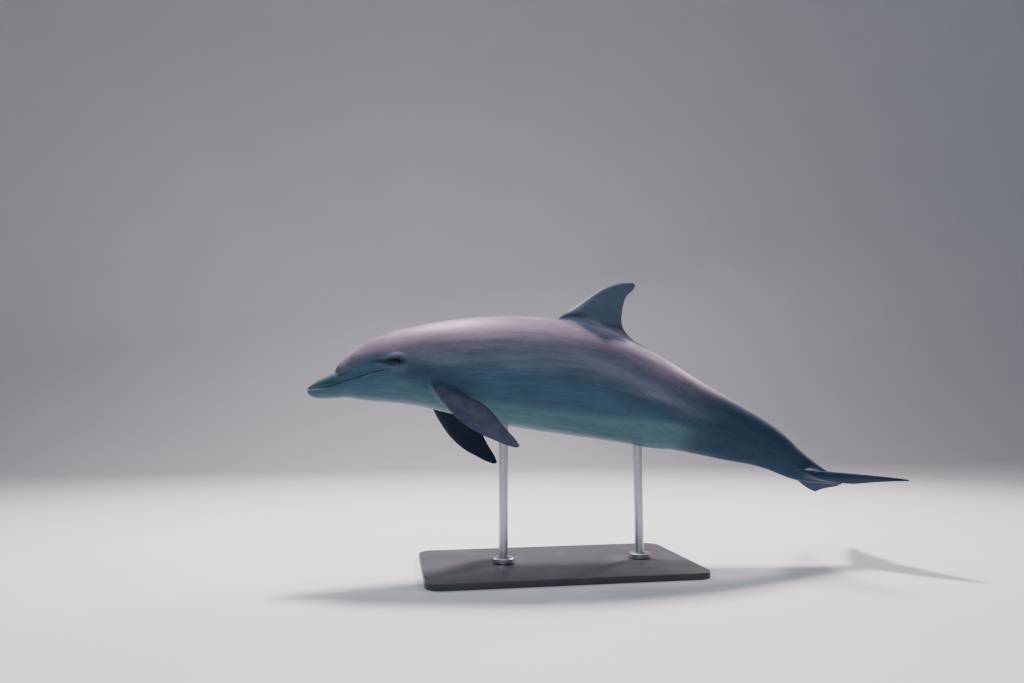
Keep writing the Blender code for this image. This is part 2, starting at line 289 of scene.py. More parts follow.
# ---- where the animal hangs
@dataclass(frozen=True)
class Pose:
    """Where the beak's tip is, and how far the left side is rolled up about the body's length."""

    snout: Triple = (-1.010, 0.0, 0.720)
    bank: float = math.radians(10)

    def turn(self) -> Array:
        """The rotation, as a matrix that turns columns."""
        c, s = math.cos(-self.bank), math.sin(-self.bank)
        return np.array([(1, 0, 0), (0, c, -s), (0, s, c)], float)

    def to_frame(self, points: Array) -> Array:
        """Points of the body's own directions, in the frame."""
        return points @ self.turn().T + np.array(self.snout)

    def from_frame(self, points: Array) -> Array:
        """Points of the frame, in the body's own directions."""
        return (points - np.array(self.snout)) @ self.turn()


@dataclass(frozen=True)
class BentAxis:
    """The body's middle line: degrees of fall at places along it, summed over short steps."""

    fall: Points
    length: float = 2.6
    steps: int = 2600
    tries: int = 14
    stride: float = 0.85

    def table(self) -> tuple[Array, Array, Array, Array]:
        """Places, and the fall in radians, the distance aft and the drop at each.

        Returns:
            The four, as arrays of one length.
        """
        fine = np.linspace(0, self.length, self.steps + 1)
        lean = np.radians(spread(self.fall, fine))
        step = self.length / self.steps
        aft = np.concatenate([[0], np.cumsum(np.cos(lean[:-1]) * step)])
        drop = np.concatenate([[0], np.cumsum(np.sin(lean[:-1]) * step)])
        return fine, lean, aft, drop

    def to_space(self, place: Array, high: Array, out: Array) -> Array:
        """Points x y z: down the axis to the place, then across it by high and out.

        Args:
            place: Places along the body.
            high: Heights above the axis.
            out: Distances to its left.

        Returns:
            The points, with x y z last.
        """
        fine, lean, aft, drop = self.table()
        place, high, out = np.broadcast_arrays(place, high, out)
        tilt = np.interp(place, fine, lean)
        x = np.interp(place, fine, aft) + np.sin(tilt) * high
        z = np.cos(tilt) * high - np.interp(place, fine, drop)
        return np.stack([x, -out, z], -1)

    def to_axis(self, points: Array) -> tuple[Array, Array, Array]:
        """Place, high and out of points, by walking along the axis until each is square to it.

        Args:
            points: Points with x y z last.

        Returns:
            Place, high and out.
        """
        fine, lean, aft, drop = self.table()
        x, z = points[..., 0], points[..., 2]
        place = x.copy()
        for _ in range(self.tries):
            tilt = np.interp(place, fine, lean)
            ahead, rise = x - np.interp(place, fine, aft), z + np.interp(place, fine, drop)
            place = place + self.stride * (ahead * np.cos(tilt) - rise * np.sin(tilt))
        tilt = np.interp(place, fine, lean)
        ahead, rise = x - np.interp(place, fine, aft), z + np.interp(place, fine, drop)
        return place, ahead * np.sin(tilt) + rise * np.cos(tilt), -points[..., 1]


# ---- cross-sections
@dataclass(frozen=True)
class Section:
    """A cross-section: its place, and its reach up, down and out."""

    name: str
    at: float
    top: float
    bottom: float
    side: float
    middle: float
    keel: float = 1.0


@dataclass(frozen=True)
class Ring:
    """One form's cross-sections at some places: reaches, middle height, keel, and where it ends."""

    up: Array
    down: Array
    side: Array
    middle: Array
    keel: Array
    beyond: Array

    def gap(self, high: Array, out: Array) -> Array:
        """Distance from the form, under 0 inside it.

        q = |out / side|^(2 / keel) + (rise / reach)^2 is 1 on the surface, and a point at the
        distance p from the middle is about p (1 - q^-1/2) outside it.  Past the form's ends it
        is a metre.

        Args:
            high: Heights above the axis.
            out: Distances to its left.

        Returns:
            The distances.
        """
        rise = high - self.middle
        q = (np.abs(out) / self.side) ** (2 / self.keel)
        q = q + (rise / np.where(rise > 0, self.up, self.down)) ** 2
        away = np.hypot(rise, out) * (1 - 1 / np.sqrt(np.maximum(q, 1e-9)))
        return np.where(self.beyond, 1.0, away)


@dataclass(frozen=True)
class Form:
    """A body form drawn by named sections.  Reaches are spread as squares, so ends come round."""

    sections: tuple[Section, ...]

    def at(self, places: Array) -> Ring:
        """The form's cross-sections at some places.

        Args:
            places: Places along the body.

        Returns:
            One ring that holds them all.
        """
        def curve(read: Callable[[Section], float]) -> Array:
            """One number of the sections, spread over the places."""
            return spread([(part.at, read(part)) for part in self.sections], places)

        def reach(read: Callable[[Section], float]) -> Array:
            """A reach, spread as its square."""
            return np.sqrt(np.maximum(curve(lambda part: read(part) ** 2), 1e-10))

        beyond = (places < self.sections[0].at) | (places > self.sections[-1].at)
        return Ring(reach(lambda part: part.top - part.middle),
                    reach(lambda part: part.middle - part.bottom),
                    reach(lambda part: part.side), curve(lambda part: part.middle),
                    curve(lambda part: part.keel), beyond)


TRUNK = Form((
    Section("brow foot", 0.104, 0.072, 0.042, 0.000, 0.060),
    Section("melon front", 0.130, 0.122, 0.000, 0.047, 0.060),
    Section("melon", 0.160, 0.156, -0.020, 0.067, 0.065),
    Section("melon crown", 0.200, 0.186, -0.034, 0.087, 0.070),
    Section("forehead", 0.270, 0.221, -0.041, 0.107, 0.082),
    Section("eye", 0.350, 0.249, -0.050, 0.124, 0.088),
    Section("neck", 0.450, 0.273, -0.066, 0.148, 0.090),
    Section("shoulder", 0.600, 0.300, -0.102, 0.177, 0.088),
    Section("chest", 0.800, 0.318, -0.143, 0.198, 0.082),
    Section("belly", 1.000, 0.320, -0.167, 0.202, 0.078),
    Section("fin", 1.200, 0.304, -0.169, 0.184, 0.075),
    Section("loin", 1.400, 0.265, -0.146, 0.150, 0.068, 1.05),
    Section("vent", 1.600, 0.228, -0.100, 0.108, 0.065, 1.15),
    Section("stock", 1.800, 0.197, -0.066, 0.071, 0.062, 1.30),
    Section("narrow stock", 2.000, 0.161, -0.026, 0.044, 0.060, 1.40),
    Section("fluke root", 2.150, 0.113, -0.011, 0.033, 0.036, 1.40),
    Section("fluke middle", 2.250, 0.079, 0.010, 0.021, 0.032, 1.30),
    Section("notch", 2.352, 0.033, 0.025, 0.000, 0.029, 1.10),
))

BEAK = Form((
    Section("tip", 0.000, 0.002, -0.004, 0.000, 0.000),
    Section("lips", 0.012, 0.017, -0.022, 0.017, 0.000),
    Section("beak front", 0.030, 0.032, -0.031, 0.026, 0.000),
    Section("beak", 0.060, 0.049, -0.034, 0.035, 0.002),
    Section("crease", 0.110, 0.074, -0.032, 0.048, 0.012),
    Section("cheek", 0.160, 0.088, -0.030, 0.065, 0.022),
    Section("gape", 0.230, 0.100, -0.037, 0.087, 0.034),
    Section("jaw", 0.320, 0.120, -0.046, 0.106, 0.046),
    Section("throat", 0.420, 0.120, -0.058, 0.110, 0.056),
))

AXIS = BentAxis(((0.00, 0), (0.60, 0), (1.00, 4), (1.40, 20), (1.85, 22), (2.05, 27), (2.20, 18),
                 (2.40, 8)))


@dataclass(frozen=True)
class MouthLine:
    """The closed mouth: place and height along it, and the groove and lips beside it."""

    line: Points = ((0.000, 0.002), (0.050, 0.003), (0.083, 0.007), (0.114, 0.014),
                    (0.153, 0.026), (0.185, 0.035), (0.223, 0.042), (0.253, 0.052), (0.300, 0.059))
    gape: float = 0.300
    groove: Swell = Swell(-0.0032, 0.0, 0.0021)
    lips: Swell = Swell(0.0011, 0.0062, 0.0032)
    lips_from: Span = (0.0, 0.02)
    corner: Dent = Dent(0.0016, (0.008, 0.0), (0.010, 0.012))
    ends: Span = (-0.022, 0.003)

    def height(self, place: Array) -> Array:
        """Height of the line at places."""
        return spread(self.line, place)

    def relief(self, place: Array, high: Array) -> Array:
        """A groove on the line, a low lip above and below it, and a swelling at its corner.

        Args:
            place: Places along the body.
            high: Heights above the axis.

        Returns:
            How far the skin stands out.
        """
        off = high - self.height(place)
        past = place - self.gape
        run = 1 - ease(*self.ends, past)
        lips = self.lips.over(np.abs(off)) * ease(*self.lips_from, place)
        return (self.groove.over(off) + lips) * run + self.corner.over(past, off)


@dataclass(frozen=True)
class Body:
    """Trunk and beak joined by a soft crease, which fades where the beak's form ends inside."""

    trunk: Form
    beak: Form
    axis: BentAxis
    mouth: MouthLine
    crease: float = 0.010
    fade: Span = (0.290, 0.400)
    neck: float = 0.460
    reach: float = 0.34
    ray_step: float = 0.002
    halvings: int = 16

    def core(self, place: Array) -> Array:
        """Height that rings are drawn from: the mouth, then the middle of the body.

        Args:
            place: Places along the body.

        Returns:
            The heights.
        """
        share = ease(self.mouth.gape, self.neck, place)
        middle = self.trunk.at(place).middle
        return self.mouth.height(place) * (1 - share) + middle * share

    def union(self, trunk: Ring, beak: Ring, soft: Array) -> Callable[[Array, Array], Array]:
        """The joined form's gap: the lesser of both, less a fillet of h^2 soft / 4.

        Args:
            trunk: The trunk's cross-sections.
            beak: The beak's.
            soft: The crease's reach.

        Returns:
            The gap as a function of high and out.
        """
        def gap(high: Array, out: Array) -> Array:
            """The joined form's gap at heights and distances out.

            Args:
                high: Heights above the axis.
                out: Distances to its left.

            Returns:
                The gap.
            """
            one, two = trunk.gap(high, out), beak.gap(high, out)
            near = np.maximum(soft - np.abs(one - two), 0) / soft
            return np.minimum(one, two) - near * near * soft / 4
        return gap

    def gap_at(self, place: Array) -> Callable[[Array, Array], Array]:
        """The gap as a function of high and out, at fixed places."""
        soft = self.crease * (1 - ease(*self.fade, place)) + 1e-5
        return self.union(self.trunk.at(place), self.beak.at(place), soft)

    def gap(self, points: Array) -> Array:
        """Roughly how far points are outside the body."""
        place, high, out = self.axis.to_axis(points)
        return self.gap_at(place)(high, out)

    def slope(self, points: Array, step: float = 0.0015) -> Array:
        """The gap's gradient, by central differences.

        Args:
            points: Points with x y z last.
            step: Half the distance compared.

        Returns:
            The gradient at each point.
        """
        sides = []
        for k in range(3):
            move = np.zeros(3)
            move[k] = step
            sides.append((self.gap(points + move) - self.gap(points - move)) / (2 * step))
        return np.stack(sides, -1)

    def depth(self, points: Array) -> tuple[Array, Array]:
        """True distance from the body, as gap over slope, and the outward direction.

        Args:
            points: Points with x y z last.

        Returns:
            Distances and unit directions.
        """
        slope = self.slope(points)
        least = 0.2
        size = np.maximum(np.linalg.norm(slope, axis=-1), least)
        return self.gap(points) / size, slope / size[..., None]

    def rings(self, place: Array, turn: Array) -> tuple[Array, Array]:
        """High and out of the outermost surface point on each ray from the core.

        Args:
            place: Places, one for each ring.
            turn: Angles from straight up, as (ring, ray), in radians.

        Returns:
            Heights and sideways distances, as (ring, ray).
        """
        at = place[:, None]
        gap = self.gap_at(at)
        start = self.core(at)
        rise, side = np.cos(turn), np.sin(turn)
        near = np.zeros(turn.shape)
        for distance in np.arange(self.ray_step, self.reach, self.ray_step):
            near = np.where(gap(start + rise * distance, side * distance) < 0, distance, near)
        far = near + self.ray_step
        for _ in range(self.halvings):
            half = (near + far) / 2
            inside = gap(start + rise * half, side * half) < 0
            near, far = np.where(inside, half, near), np.where(inside, far, half)
        return start + rise * near, side * near


# ---- relief of the head and belly
@dataclass(frozen=True)
class EyeRelief:
    """Lids that bulge over the eyeball, the opening between them, and the folds around."""

    centre: Triple = (0.349, 0.1075, 0.0925)
    ball: float = 0.0210
    lid: float = 0.0026
    length: float = 0.0165
    upper: float = 0.0098
    lower: float = 0.0088
    tilt: float = math.radians(-5)
    fillet: float = 0.0045
    fold_reach: float = 0.026
    fold_from: Span = (0.0, 0.006)
    upper_fold: Swell = Swell(-0.0012, 0.0055, 0.0014)
    upper_ridge: Swell = Swell(0.0007, 0.0085, 0.0022)
    lower_fold: Swell = Swell(-0.0007, 0.0060, 0.0014)
    front_corner: Dent = Dent(-0.0016, (-0.022, -0.001), (0.006, 0.0022))
    back_corner: Dent = Dent(-0.00128, (0.022, -0.001), (0.005, 0.0022))
    front_hollow: Dent = Dent(-0.0022, (-0.046, 0.004), (0.016, 0.010))
    back_hollow: Dent = Dent(-0.0012, (0.040, 0.003), (0.012, 0.014))
    brow: Dent = Dent(0.0030, (-0.006, 0.0262), (0.034, 0.0075))
    brow_curve: float = 5.0
    ear: Swell = Swell(-0.0012, 0.0, 0.0026)
    ear_at: Span = (0.058, -0.010)

    def local(self, points: Array) -> tuple[Array, Array]:
        """Aft and up from the eyeball's middle, on either side of the head.

        Args:
            points: Points on the head.

        Returns:
            Both distances.
        """
        x, z = points[..., 0] - self.centre[0], points[..., 2] - self.centre[2]
        aft = x * math.cos(self.tilt) + z * math.sin(self.tilt)
        return aft, z * math.cos(self.tilt) - x * math.sin(self.tilt)

    def opening(self, aft: Array, up: Array) -> Array:
        """Distance outside an almond: up less its height times 1 - (aft / length)^2."""
        tall = np.where(up > 0, self.upper, self.lower)
        return np.abs(up) - tall * (1 - (aft / self.length) ** 2)

    def mound(self, points: Array, normals: Array) -> Array:
        """Lids on a sphere a lid's thickness outside the ball, joined by the soft greater.

        Args:
            points: Points on the head.
            normals: Its normals there.

        Returns:
            How far the lids stand out.
        """
        side = np.where(points[..., 1] > 0, 1.0, -1.0)
        ball = np.stack([np.full_like(side, self.centre[0]), side * self.centre[1],
                         np.full_like(side, self.centre[2])], -1)
        away = points - ball
        foot = (away * normals).sum(-1)
        room = foot**2 - (away**2).sum(-1) + (self.ball + self.lid) ** 2
        lift = np.where(room > 0, np.sqrt(np.maximum(room, 0)) - foot, -self.ball)
        near = np.maximum(self.fillet - np.abs(lift), 0) / self.fillet
        return np.maximum(lift, 0) + near * near * self.fillet / 4

    def relief(self, points: Array, normals: Array) -> Array:
        """How far the skin stands out near the eye: lids, folds along the almond, and dents.

        Args:
            points: Points on the head.
            normals: Its normals there.

        Returns:
            How far the skin stands out.
        """
        aft, up = self.local(points)
        outline = self.opening(aft, up)
        above, below = ease(*self.fold_from, up), ease(*self.fold_from, -up)
        folds = (self.upper_fold.over(outline) + self.upper_ridge.over(outline)) * above
        folds = (folds + self.lower_fold.over(outline) * below) * bell(aft, self.fold_reach)
        brow = self.brow.over(aft, up + self.brow_curve * aft**2)
        ear = self.ear.over(np.hypot(aft - self.ear_at[0], up - self.ear_at[1]))
        dents = (self.front_corner, self.back_corner, self.front_hollow, self.back_hollow)
        around = sum(dent.over(aft, up) for dent in dents)
        return self.mound(points, normals) + folds + brow + ear + around


@dataclass(frozen=True)
class Blowhole:
    """A crescent slit on the crown whose horns point forward, in a low mound."""

    place: float = 0.352
    half: float = 0.021
    curl: float = 24.0
    slit: Swell = Swell(-0.0050, 0.0, 0.0026)
    lip: Swell = Swell(0.0014, 0.0052, 0.003)
    mound: Swell = Swell(0.0022, 0.0, 0.034)
    dip: Swell = Swell(-0.0020, 0.0, 0.018)
    dip_ahead: float = 0.030
    horn: float = 0.004
    crown: Span = (0.12, 0.18)

    def relief(self, place: Array, high: Array, out: Array) -> Array:
        """A groove where place is the middle's less curl times out squared, and bells round it.

        Args:
            place: Places along the body.
            high: Heights above the axis.
            out: Distances to its left.

        Returns:
            How far the skin stands out.
        """
        aft, wide = place - self.place, np.abs(out)
        off = aft + self.curl * out**2
        slit = self.slit.over(off) * (1 - ease(self.half - self.horn, self.half, wide))
        lip = self.lip.over(off) * (1 - ease(self.half, self.half + 1.5 * self.horn, wide))
        mound = self.mound.over(np.hypot(aft, out))
        dip = self.dip.over(np.hypot(aft + self.dip_ahead, out))
        return (slit + lip + mound + dip) * ease(*self.crown, high)


@dataclass(frozen=True)
class Belly:
    """Navel, slit and vent along the middle of the underside."""

    navel: Dent = Dent(-0.0034, (1.130, 0.0), (0.011, 0.006))
    vent: Dent = Dent(-0.0036, (1.585, 0.0), (0.009, 0.005))
    slit: Swell = Swell(-0.0042, 0.0, 0.0042)
    lips: Swell = Swell(0.0022, 0.011, 0.006)
    slit_run: Span = (1.430, 1.535)
    slit_ends: float = 0.012
    lip_ends: float = 0.020
    under: Span = (0.02, 0.06)

    def relief(self, place: Array, high: Array, out: Array) -> Array:
        """Bell-shaped dents, each long along the body and narrow across it.

        Args:
            place: Places along the body.
            high: Heights above the axis.
            out: Distances to its left.

        Returns:
            How far the skin stands out.
        """
        slit = self.slit.over(out) * window(place, *self.slit_run, self.slit_ends)
        lips = self.lips.over(np.abs(out)) * window(place, *self.slit_run, self.lip_ends)
        dents = self.navel.over(place, out) + self.vent.over(place, out)
        return (dents + slit + lips) * ease(*self.under, -high)


# ---- fins
class Side(Enum):
    """A side of the animal, as the sign of y."""

    LEFT = 1
    RIGHT = -1


@dataclass(frozen=True)
class Nick:
    """A bite out of a trailing edge: its share of the span, width as a share, and depth."""

    at: float
    width: float
    depth: float


@dataclass(frozen=True)
class Fin:
    """A foil fin: front and back edges in its own plane, thickness, and how its root flares."""

    name: str
    front: Points
    back: Points
    thick: Points
    root: float
    root_ends: float
    tip: float
    nicks: tuple[Nick, ...] = ()
    edge: float = 0.0022
    half_columns: int = 30
    rows: int = 40
    ridge_share: float = 0.0

    def edge_at(self, points: Points, share: Array) -> Array:
        """Points at shares of the length of the curve through an edge's points.

        Args:
            points: An edge's points.
            share: Shares of its length.

        Returns:
            Points of two numbers each.
        """
        at = np.array(points, float)
        steps = np.linalg.norm(np.diff(at, axis=0), axis=1)
        walked = np.concatenate([[0], np.cumsum(steps)]) / steps.sum()
        return np.stack([spread(list(zip(walked, at[:, k])), share) for k in (0, 1)], -1)

    def chord(self) -> tuple[Array, Array]:
        """Share of the chord and the face (1 or -1) of each column, crowded at both edges."""
        turn = np.linspace(0, 2 * math.pi, 2 * self.half_columns, endpoint=False)
        return (1 - np.cos(turn)) / 2, np.where(turn <= math.pi, 1.0, -1.0)

    def flat(self, share: Array) -> Array:
        """The fin's surface in its own two directions and through its thickness.

        A ring at each share of the span is a symmetric foil, t (1.48 c^1/2 - 0.63 c - 1.76 c^2
        + 1.42 c^3 - 0.52 c^4), blunt in front and thickest a third of the way back, plus a
        thin trailing edge with a round end.  Shares over 1 close the tip: the chord shrinks as
        a cosine while it moves out as a sine.

        Args:
            share: Share of the span, as (row, column) or (row, 1).

        Returns:
            Points, as (row, column, 3).
        """
        chord, face = self.chord()
        share = share + np.zeros(chord.shape)
        past = np.clip(share - 1, 0, 1) * math.pi / 2
        held = np.clip(share, 0, 1)
        lead, trail = self.edge_at(self.front, held), self.edge_at(self.back, held)
        inner, ends = (self.edge_at(self.front, near_tip) + self.edge_at(self.back, near_tip)
                       for near_tip in (np.full(1, 0.97), np.ones(1)))
        outward = unit(ends - inner)[0]
        middle = (lead + trail) / 2 + outward * (self.tip * np.sin(past))[..., None]
        across = (trail - lead) / 2 * np.cos(past)[..., None]
        hind = (chord > 0.5) * (2 * chord - 1) ** 6
        for nick in self.nicks:
            bite = nick.depth * bell(held - nick.at, nick.width) * hind
            across = across - unit(across) * bite[..., None]
        foil = 1.4845 * np.sqrt(chord) - 0.63 * chord - 1.758 * chord**2
        foil = foil + 1.4215 * chord**3 - 0.518 * chord**4
        rounded = 0.007
        end = np.sqrt(1 - np.clip((chord - 1 + rounded) / rounded, 0, 1) ** 2)
        half = spread(self.thick, held) * foil + self.edge / 2 * np.sqrt(chord) * end
        plane = middle + across * (2 * chord - 1)[..., None]
        return np.concatenate([plane, (half * np.cos(past) * face)[..., None]], -1)


DORSAL = Fin(
    "dorsal fin",
    front=((1.000, 0.270), (1.041, 0.3235), (1.133, 0.389), (1.208, 0.4425), (1.256, 0.471),
           (1.300, 0.489), (1.345, 0.500), (1.388, 0.502)),
    back=((1.470, 0.120), (1.435, 0.1865), (1.3855, 0.2225), (1.353, 0.2536), (1.3325, 0.287),
          (1.328, 0.320), (1.333, 0.357), (1.343, 0.398), (1.363, 0.4395), (1.390, 0.463),
          (1.403, 0.482)),
    thick=((0.0, 0.058), (0.3, 0.046), (0.6, 0.026), (0.9, 0.014), (1.0, 0.008)),
    root=0.062, root_ends=0.012, tip=0.009, half_columns=38, rows=46,
    nicks=(Nick(0.905, 0.006, 0.0045), Nick(0.872, 0.005, 0.0035), Nick(0.935, 0.005, 0.003),
           Nick(0.62, 0.008, 0.003), Nick(0.50, 0.005, 0.002)),
)
FLIPPER = Fin(
    "flipper",
    front=((-0.120, -0.034), (-0.060, -0.052), (0.000, -0.069), (0.044, -0.078), (0.100, -0.086),
           (0.167, -0.085), (0.215, -0.077), (0.268, -0.060), (0.316, -0.043), (0.343, -0.029)),
    back=((-0.120, 0.008), (-0.060, 0.012), (0.000, 0.016), (0.060, 0.024), (0.102, 0.033),
          (0.150, 0.036), (0.195, 0.029), (0.235, 0.0185), (0.278, 0.0095), (0.318, 0.003),
          (0.350, -0.007)),
    thick=((0.0, 0.034), (0.4, 0.028), (0.75, 0.014), (1.0, 0.0045)),
    root=0.022, root_ends=0.012, tip=0.006,
)
FLUKE = Fin(
    "fluke",
    front=((0.000, -0.015), (0.030, 0.004), (0.080, 0.048), (0.140, 0.100), (0.200, 0.155),
           (0.260, 0.218), (0.295, 0.264), (0.312, 0.296)),
    back=((0.000, 0.215), (0.013, 0.217), (0.024, 0.231), (0.055, 0.247), (0.120, 0.256),
          (0.190, 0.267), (0.250, 0.284), (0.290, 0.297), (0.311, 0.304)),
    thick=((0.0, 0.040), (0.2, 0.028), (0.6, 0.015), (1.0, 0.006)),
    root=0.024, root_ends=0.010, tip=0.004, half_columns=44, rows=56, ridge_share=0.42,
    nicks=(Nick(0.55, 0.012, 0.002), Nick(0.80, 0.008, 0.0015)),
)


@dataclass(frozen=True)
class Mount:
    """Where a fin's own plane lies: its origin and its three directions."""

    origin: Triple
    across: Array
    down: Array
    through: Array
    curl: float = 0.0

    def place(self, flat: Array) -> Array:
        """A fin's flat points in space; the third direction also rises by curl times u^2.

        Args:
            flat: Points as (row, column, 3).

        Returns:
            The same points in space.
        """
        flat = flat.copy()
        flat[..., 2] += self.curl * flat[..., 0] ** 2
        return flat @ np.array([self.across, self.down, self.through]) + np.array(self.origin)


def dorsal_mount() -> Mount:
    """The dorsal fin's plane is the body's middle plane."""
    return Mount((0, 0, 0), np.array((1.0, 0, 0)), np.array((0, 0, 1.0)), np.array((0, 1.0, 0)))


def flipper_mount(side: Side) -> Mount:
    """A flipper points back, out and down, with its chord as near the body's length as it can.

    Args:
        side: Which flipper.

    Returns:
        Its plane.
    """
    root = np.array((0.570, -0.1435, -0.0305))
    span = unit(np.array((0.666, -0.373, -0.646)))
    through = unit(np.cross(span, (1, 0, 0)))
    chord = np.cross(through, span)
    mirror = np.array((1, side.value, 1))
    return Mount(tuple(root * mirror), span * mirror, chord * mirror, through * mirror)


def fluke_mount(side: Side) -> Mount:
    """The flukes' plane falls aft by 15 degrees, and the tips curl up.

    Args:
        side: Which fluke.

    Returns:
        Its plane.
    """
    root, fall = (2.060, 0.0, -0.346), math.radians(15)
    aft = np.array((math.cos(fall), 0, -math.sin(fall)))
    rise = np.array((math.sin(fall), 0, math.cos(fall)))
    return Mount(root, np.array((0, -float(side.value), 0)), aft, rise, curl=0.07)


@dataclass(frozen=True)
class Flare:
    """Makes a fin's surface spread on to the body like real flesh.

    Near the body a point at the height d over it moves away from the fin by
    r (1 - (1 - (1 - d / r)^2)^1/2), a quarter circle that meets both surfaces without a crease.
    """

    body: Body
    sink: float = 0.00010
    turns: int = 12
    least: float = 0.0015
    fullness: float = 0.8
    searched: float = 0.9
    samples: int = 181
    skirt: Span = (0.0018, 0.004)
    skirt_out: float = 0.001
    skirt_depth: float = 0.01
    crowding: float = 1.25
    cap_rings: int = 7
    cap_end: float = 1.94
    settling: int = 2

    def radius(self, fin: Fin, mount: Mount) -> Array:
        """The quarter circle's radius at each column, less at the fin's two edges.

        Where a fin's root lies under a ridge, the radius is also at most a share of how far
        the body stands over that face, so that the ridge's edge stays free.

        Args:
            fin: The fin.
            mount: Where it is.

        Returns:
            A radius for each column.
        """
        chord, face = fin.chord()
        swell = np.sin(math.pi * chord) ** self.fullness
        radius = fin.root_ends + (fin.root - fin.root_ends) * swell
        if fin.ridge_share:
            place, high, _ = self.body.axis.to_axis(mount.place(fin.flat(np.zeros((1, 1))))[0])
            stock = self.body.trunk.at(place)
            over = np.where(face > 0, stock.middle + stock.up - high,
                            high - stock.middle + stock.down)
            radius = np.clip(np.minimum(radius, fin.ridge_share * over), self.least, None)
        return radius

    def push(self, wall: Array, grid: Array, height: Array, shift: Array) -> Array:
        """Move points away from the fin over the body, then set them at their height over it.

        Args:
            wall: Points on the fin's own surface.
            grid: The fin's outward normals there.
            height: How high each point belongs over the body.
            shift: How far each moves.

        Returns:
            The moved points.
        """
        _, outward = self.body.depth(wall)
        away = unit(grid - along(grid, outward) * outward)
        moved = wall + away * shift[..., None]
        for _ in range(self.settling):
            distance, outward = self.body.depth(moved)
            moved = moved + outward * (height - distance)[..., None]
        return moved

    def normals(self, fin: Fin, mount: Mount, share: Array) -> Array:
        """The fin's outward normals, from differences along its span and round its foil.

        Args:
            fin: The fin.
            mount: Where it is.
            share: Shares of the span, as (row, column).

        Returns:
            A normal at each.
        """
        step = 0.002
        here = mount.place(fin.flat(share))
        round_it = np.roll(here, -1, 1) - np.roll(here, 1, 1)
        along_it = mount.place(fin.flat(share + step)) - mount.place(fin.flat(share - step))
        normal = unit(np.cross(round_it, along_it))
        middle = here.mean(1, keepdims=True)
        flip = np.sign((normal * (here - middle)).sum(-1).mean())
        return normal * flip

    def shares_at(self, fin: Fin, mount: Mount, heights: Array) -> Array:
        """Shares of the span at which each column stands at given heights over the body.

        Args:
            fin: The fin.
            mount: Where it is.
            heights: Heights as (row, column).

        Returns:
            Shares as (row, column).
        """
        fine = np.linspace(0, self.searched, self.samples)
        depth = self.body.gap(mount.place(fin.flat(fine[:, None])))
        rows = []
        for height in heights:
            below = depth < height
            last = len(fine) - 1 - np.argmax(below[::-1], axis=0)
            last = np.clip(np.where(below.any(axis=0), last, 0), 0, len(fine) - 2)
            low = np.take_along_axis(depth, last[None], 0)[0]
            high = np.take_along_axis(depth, last[None] + 1, 0)[0]
            part = np.clip((height - low) / np.maximum(high - low, 1e-9), 0, 1)
            rows.append(fine[last] + part * (fine[1] - fine[0]))
        return np.array(rows)

    def mesh(self, fin: Fin, mount: Mount) -> bpy.types.Mesh:
        """A closed fin from its tip down to a rim that lies just under the body's skin.

        Args:
            fin: The fin.
            mount: Where it is.

        Returns:
            The mesh.
        """
        radius = self.radius(fin, mount)
        turn = np.linspace(0, math.pi / 2, self.turns + 1)[:, None]
        heights = radius * (1 - np.sin(turn))
        shares = self.shares_at(fin, mount, heights)
        upper = 1 - (1 - np.linspace(0, 1, fin.rows)[:, None]) ** self.crowding
        wall = shares[:1] + (1 - shares[:1]) * upper[1:]
        cap = np.linspace(1, self.cap_end, self.cap_rings)[1:, None]
        cap = np.repeat(cap, len(radius), 1)
        free = mount.place(fin.flat(np.concatenate([wall, cap])))
        root = mount.place(fin.flat(shares))
        normals = self.normals(fin, mount, shares)
        shift = radius * (1 - np.cos(turn))
        flared = self.push(root, normals, heights, shift)
        last = (root[-1:], normals[-1:])
        out = shift[-1:] + self.skirt_out
        rim = self.push(*last, np.full((1, len(radius)), -self.sink), out)
        skirt = self.push(*last, -np.clip(radius / 2, *self.skirt)[None], out)
        rings = np.concatenate([skirt, rim, flared[::-1], free])
        tip = mount.place(fin.flat(np.full((1, len(radius)), 2.0))).mean((0, 1))
        _, outward = self.body.depth(skirt.mean(1))
        root = skirt.mean((0, 1)) - outward[0] * self.skirt_depth
        return closed_loft(fin.name, rings, root, tip)


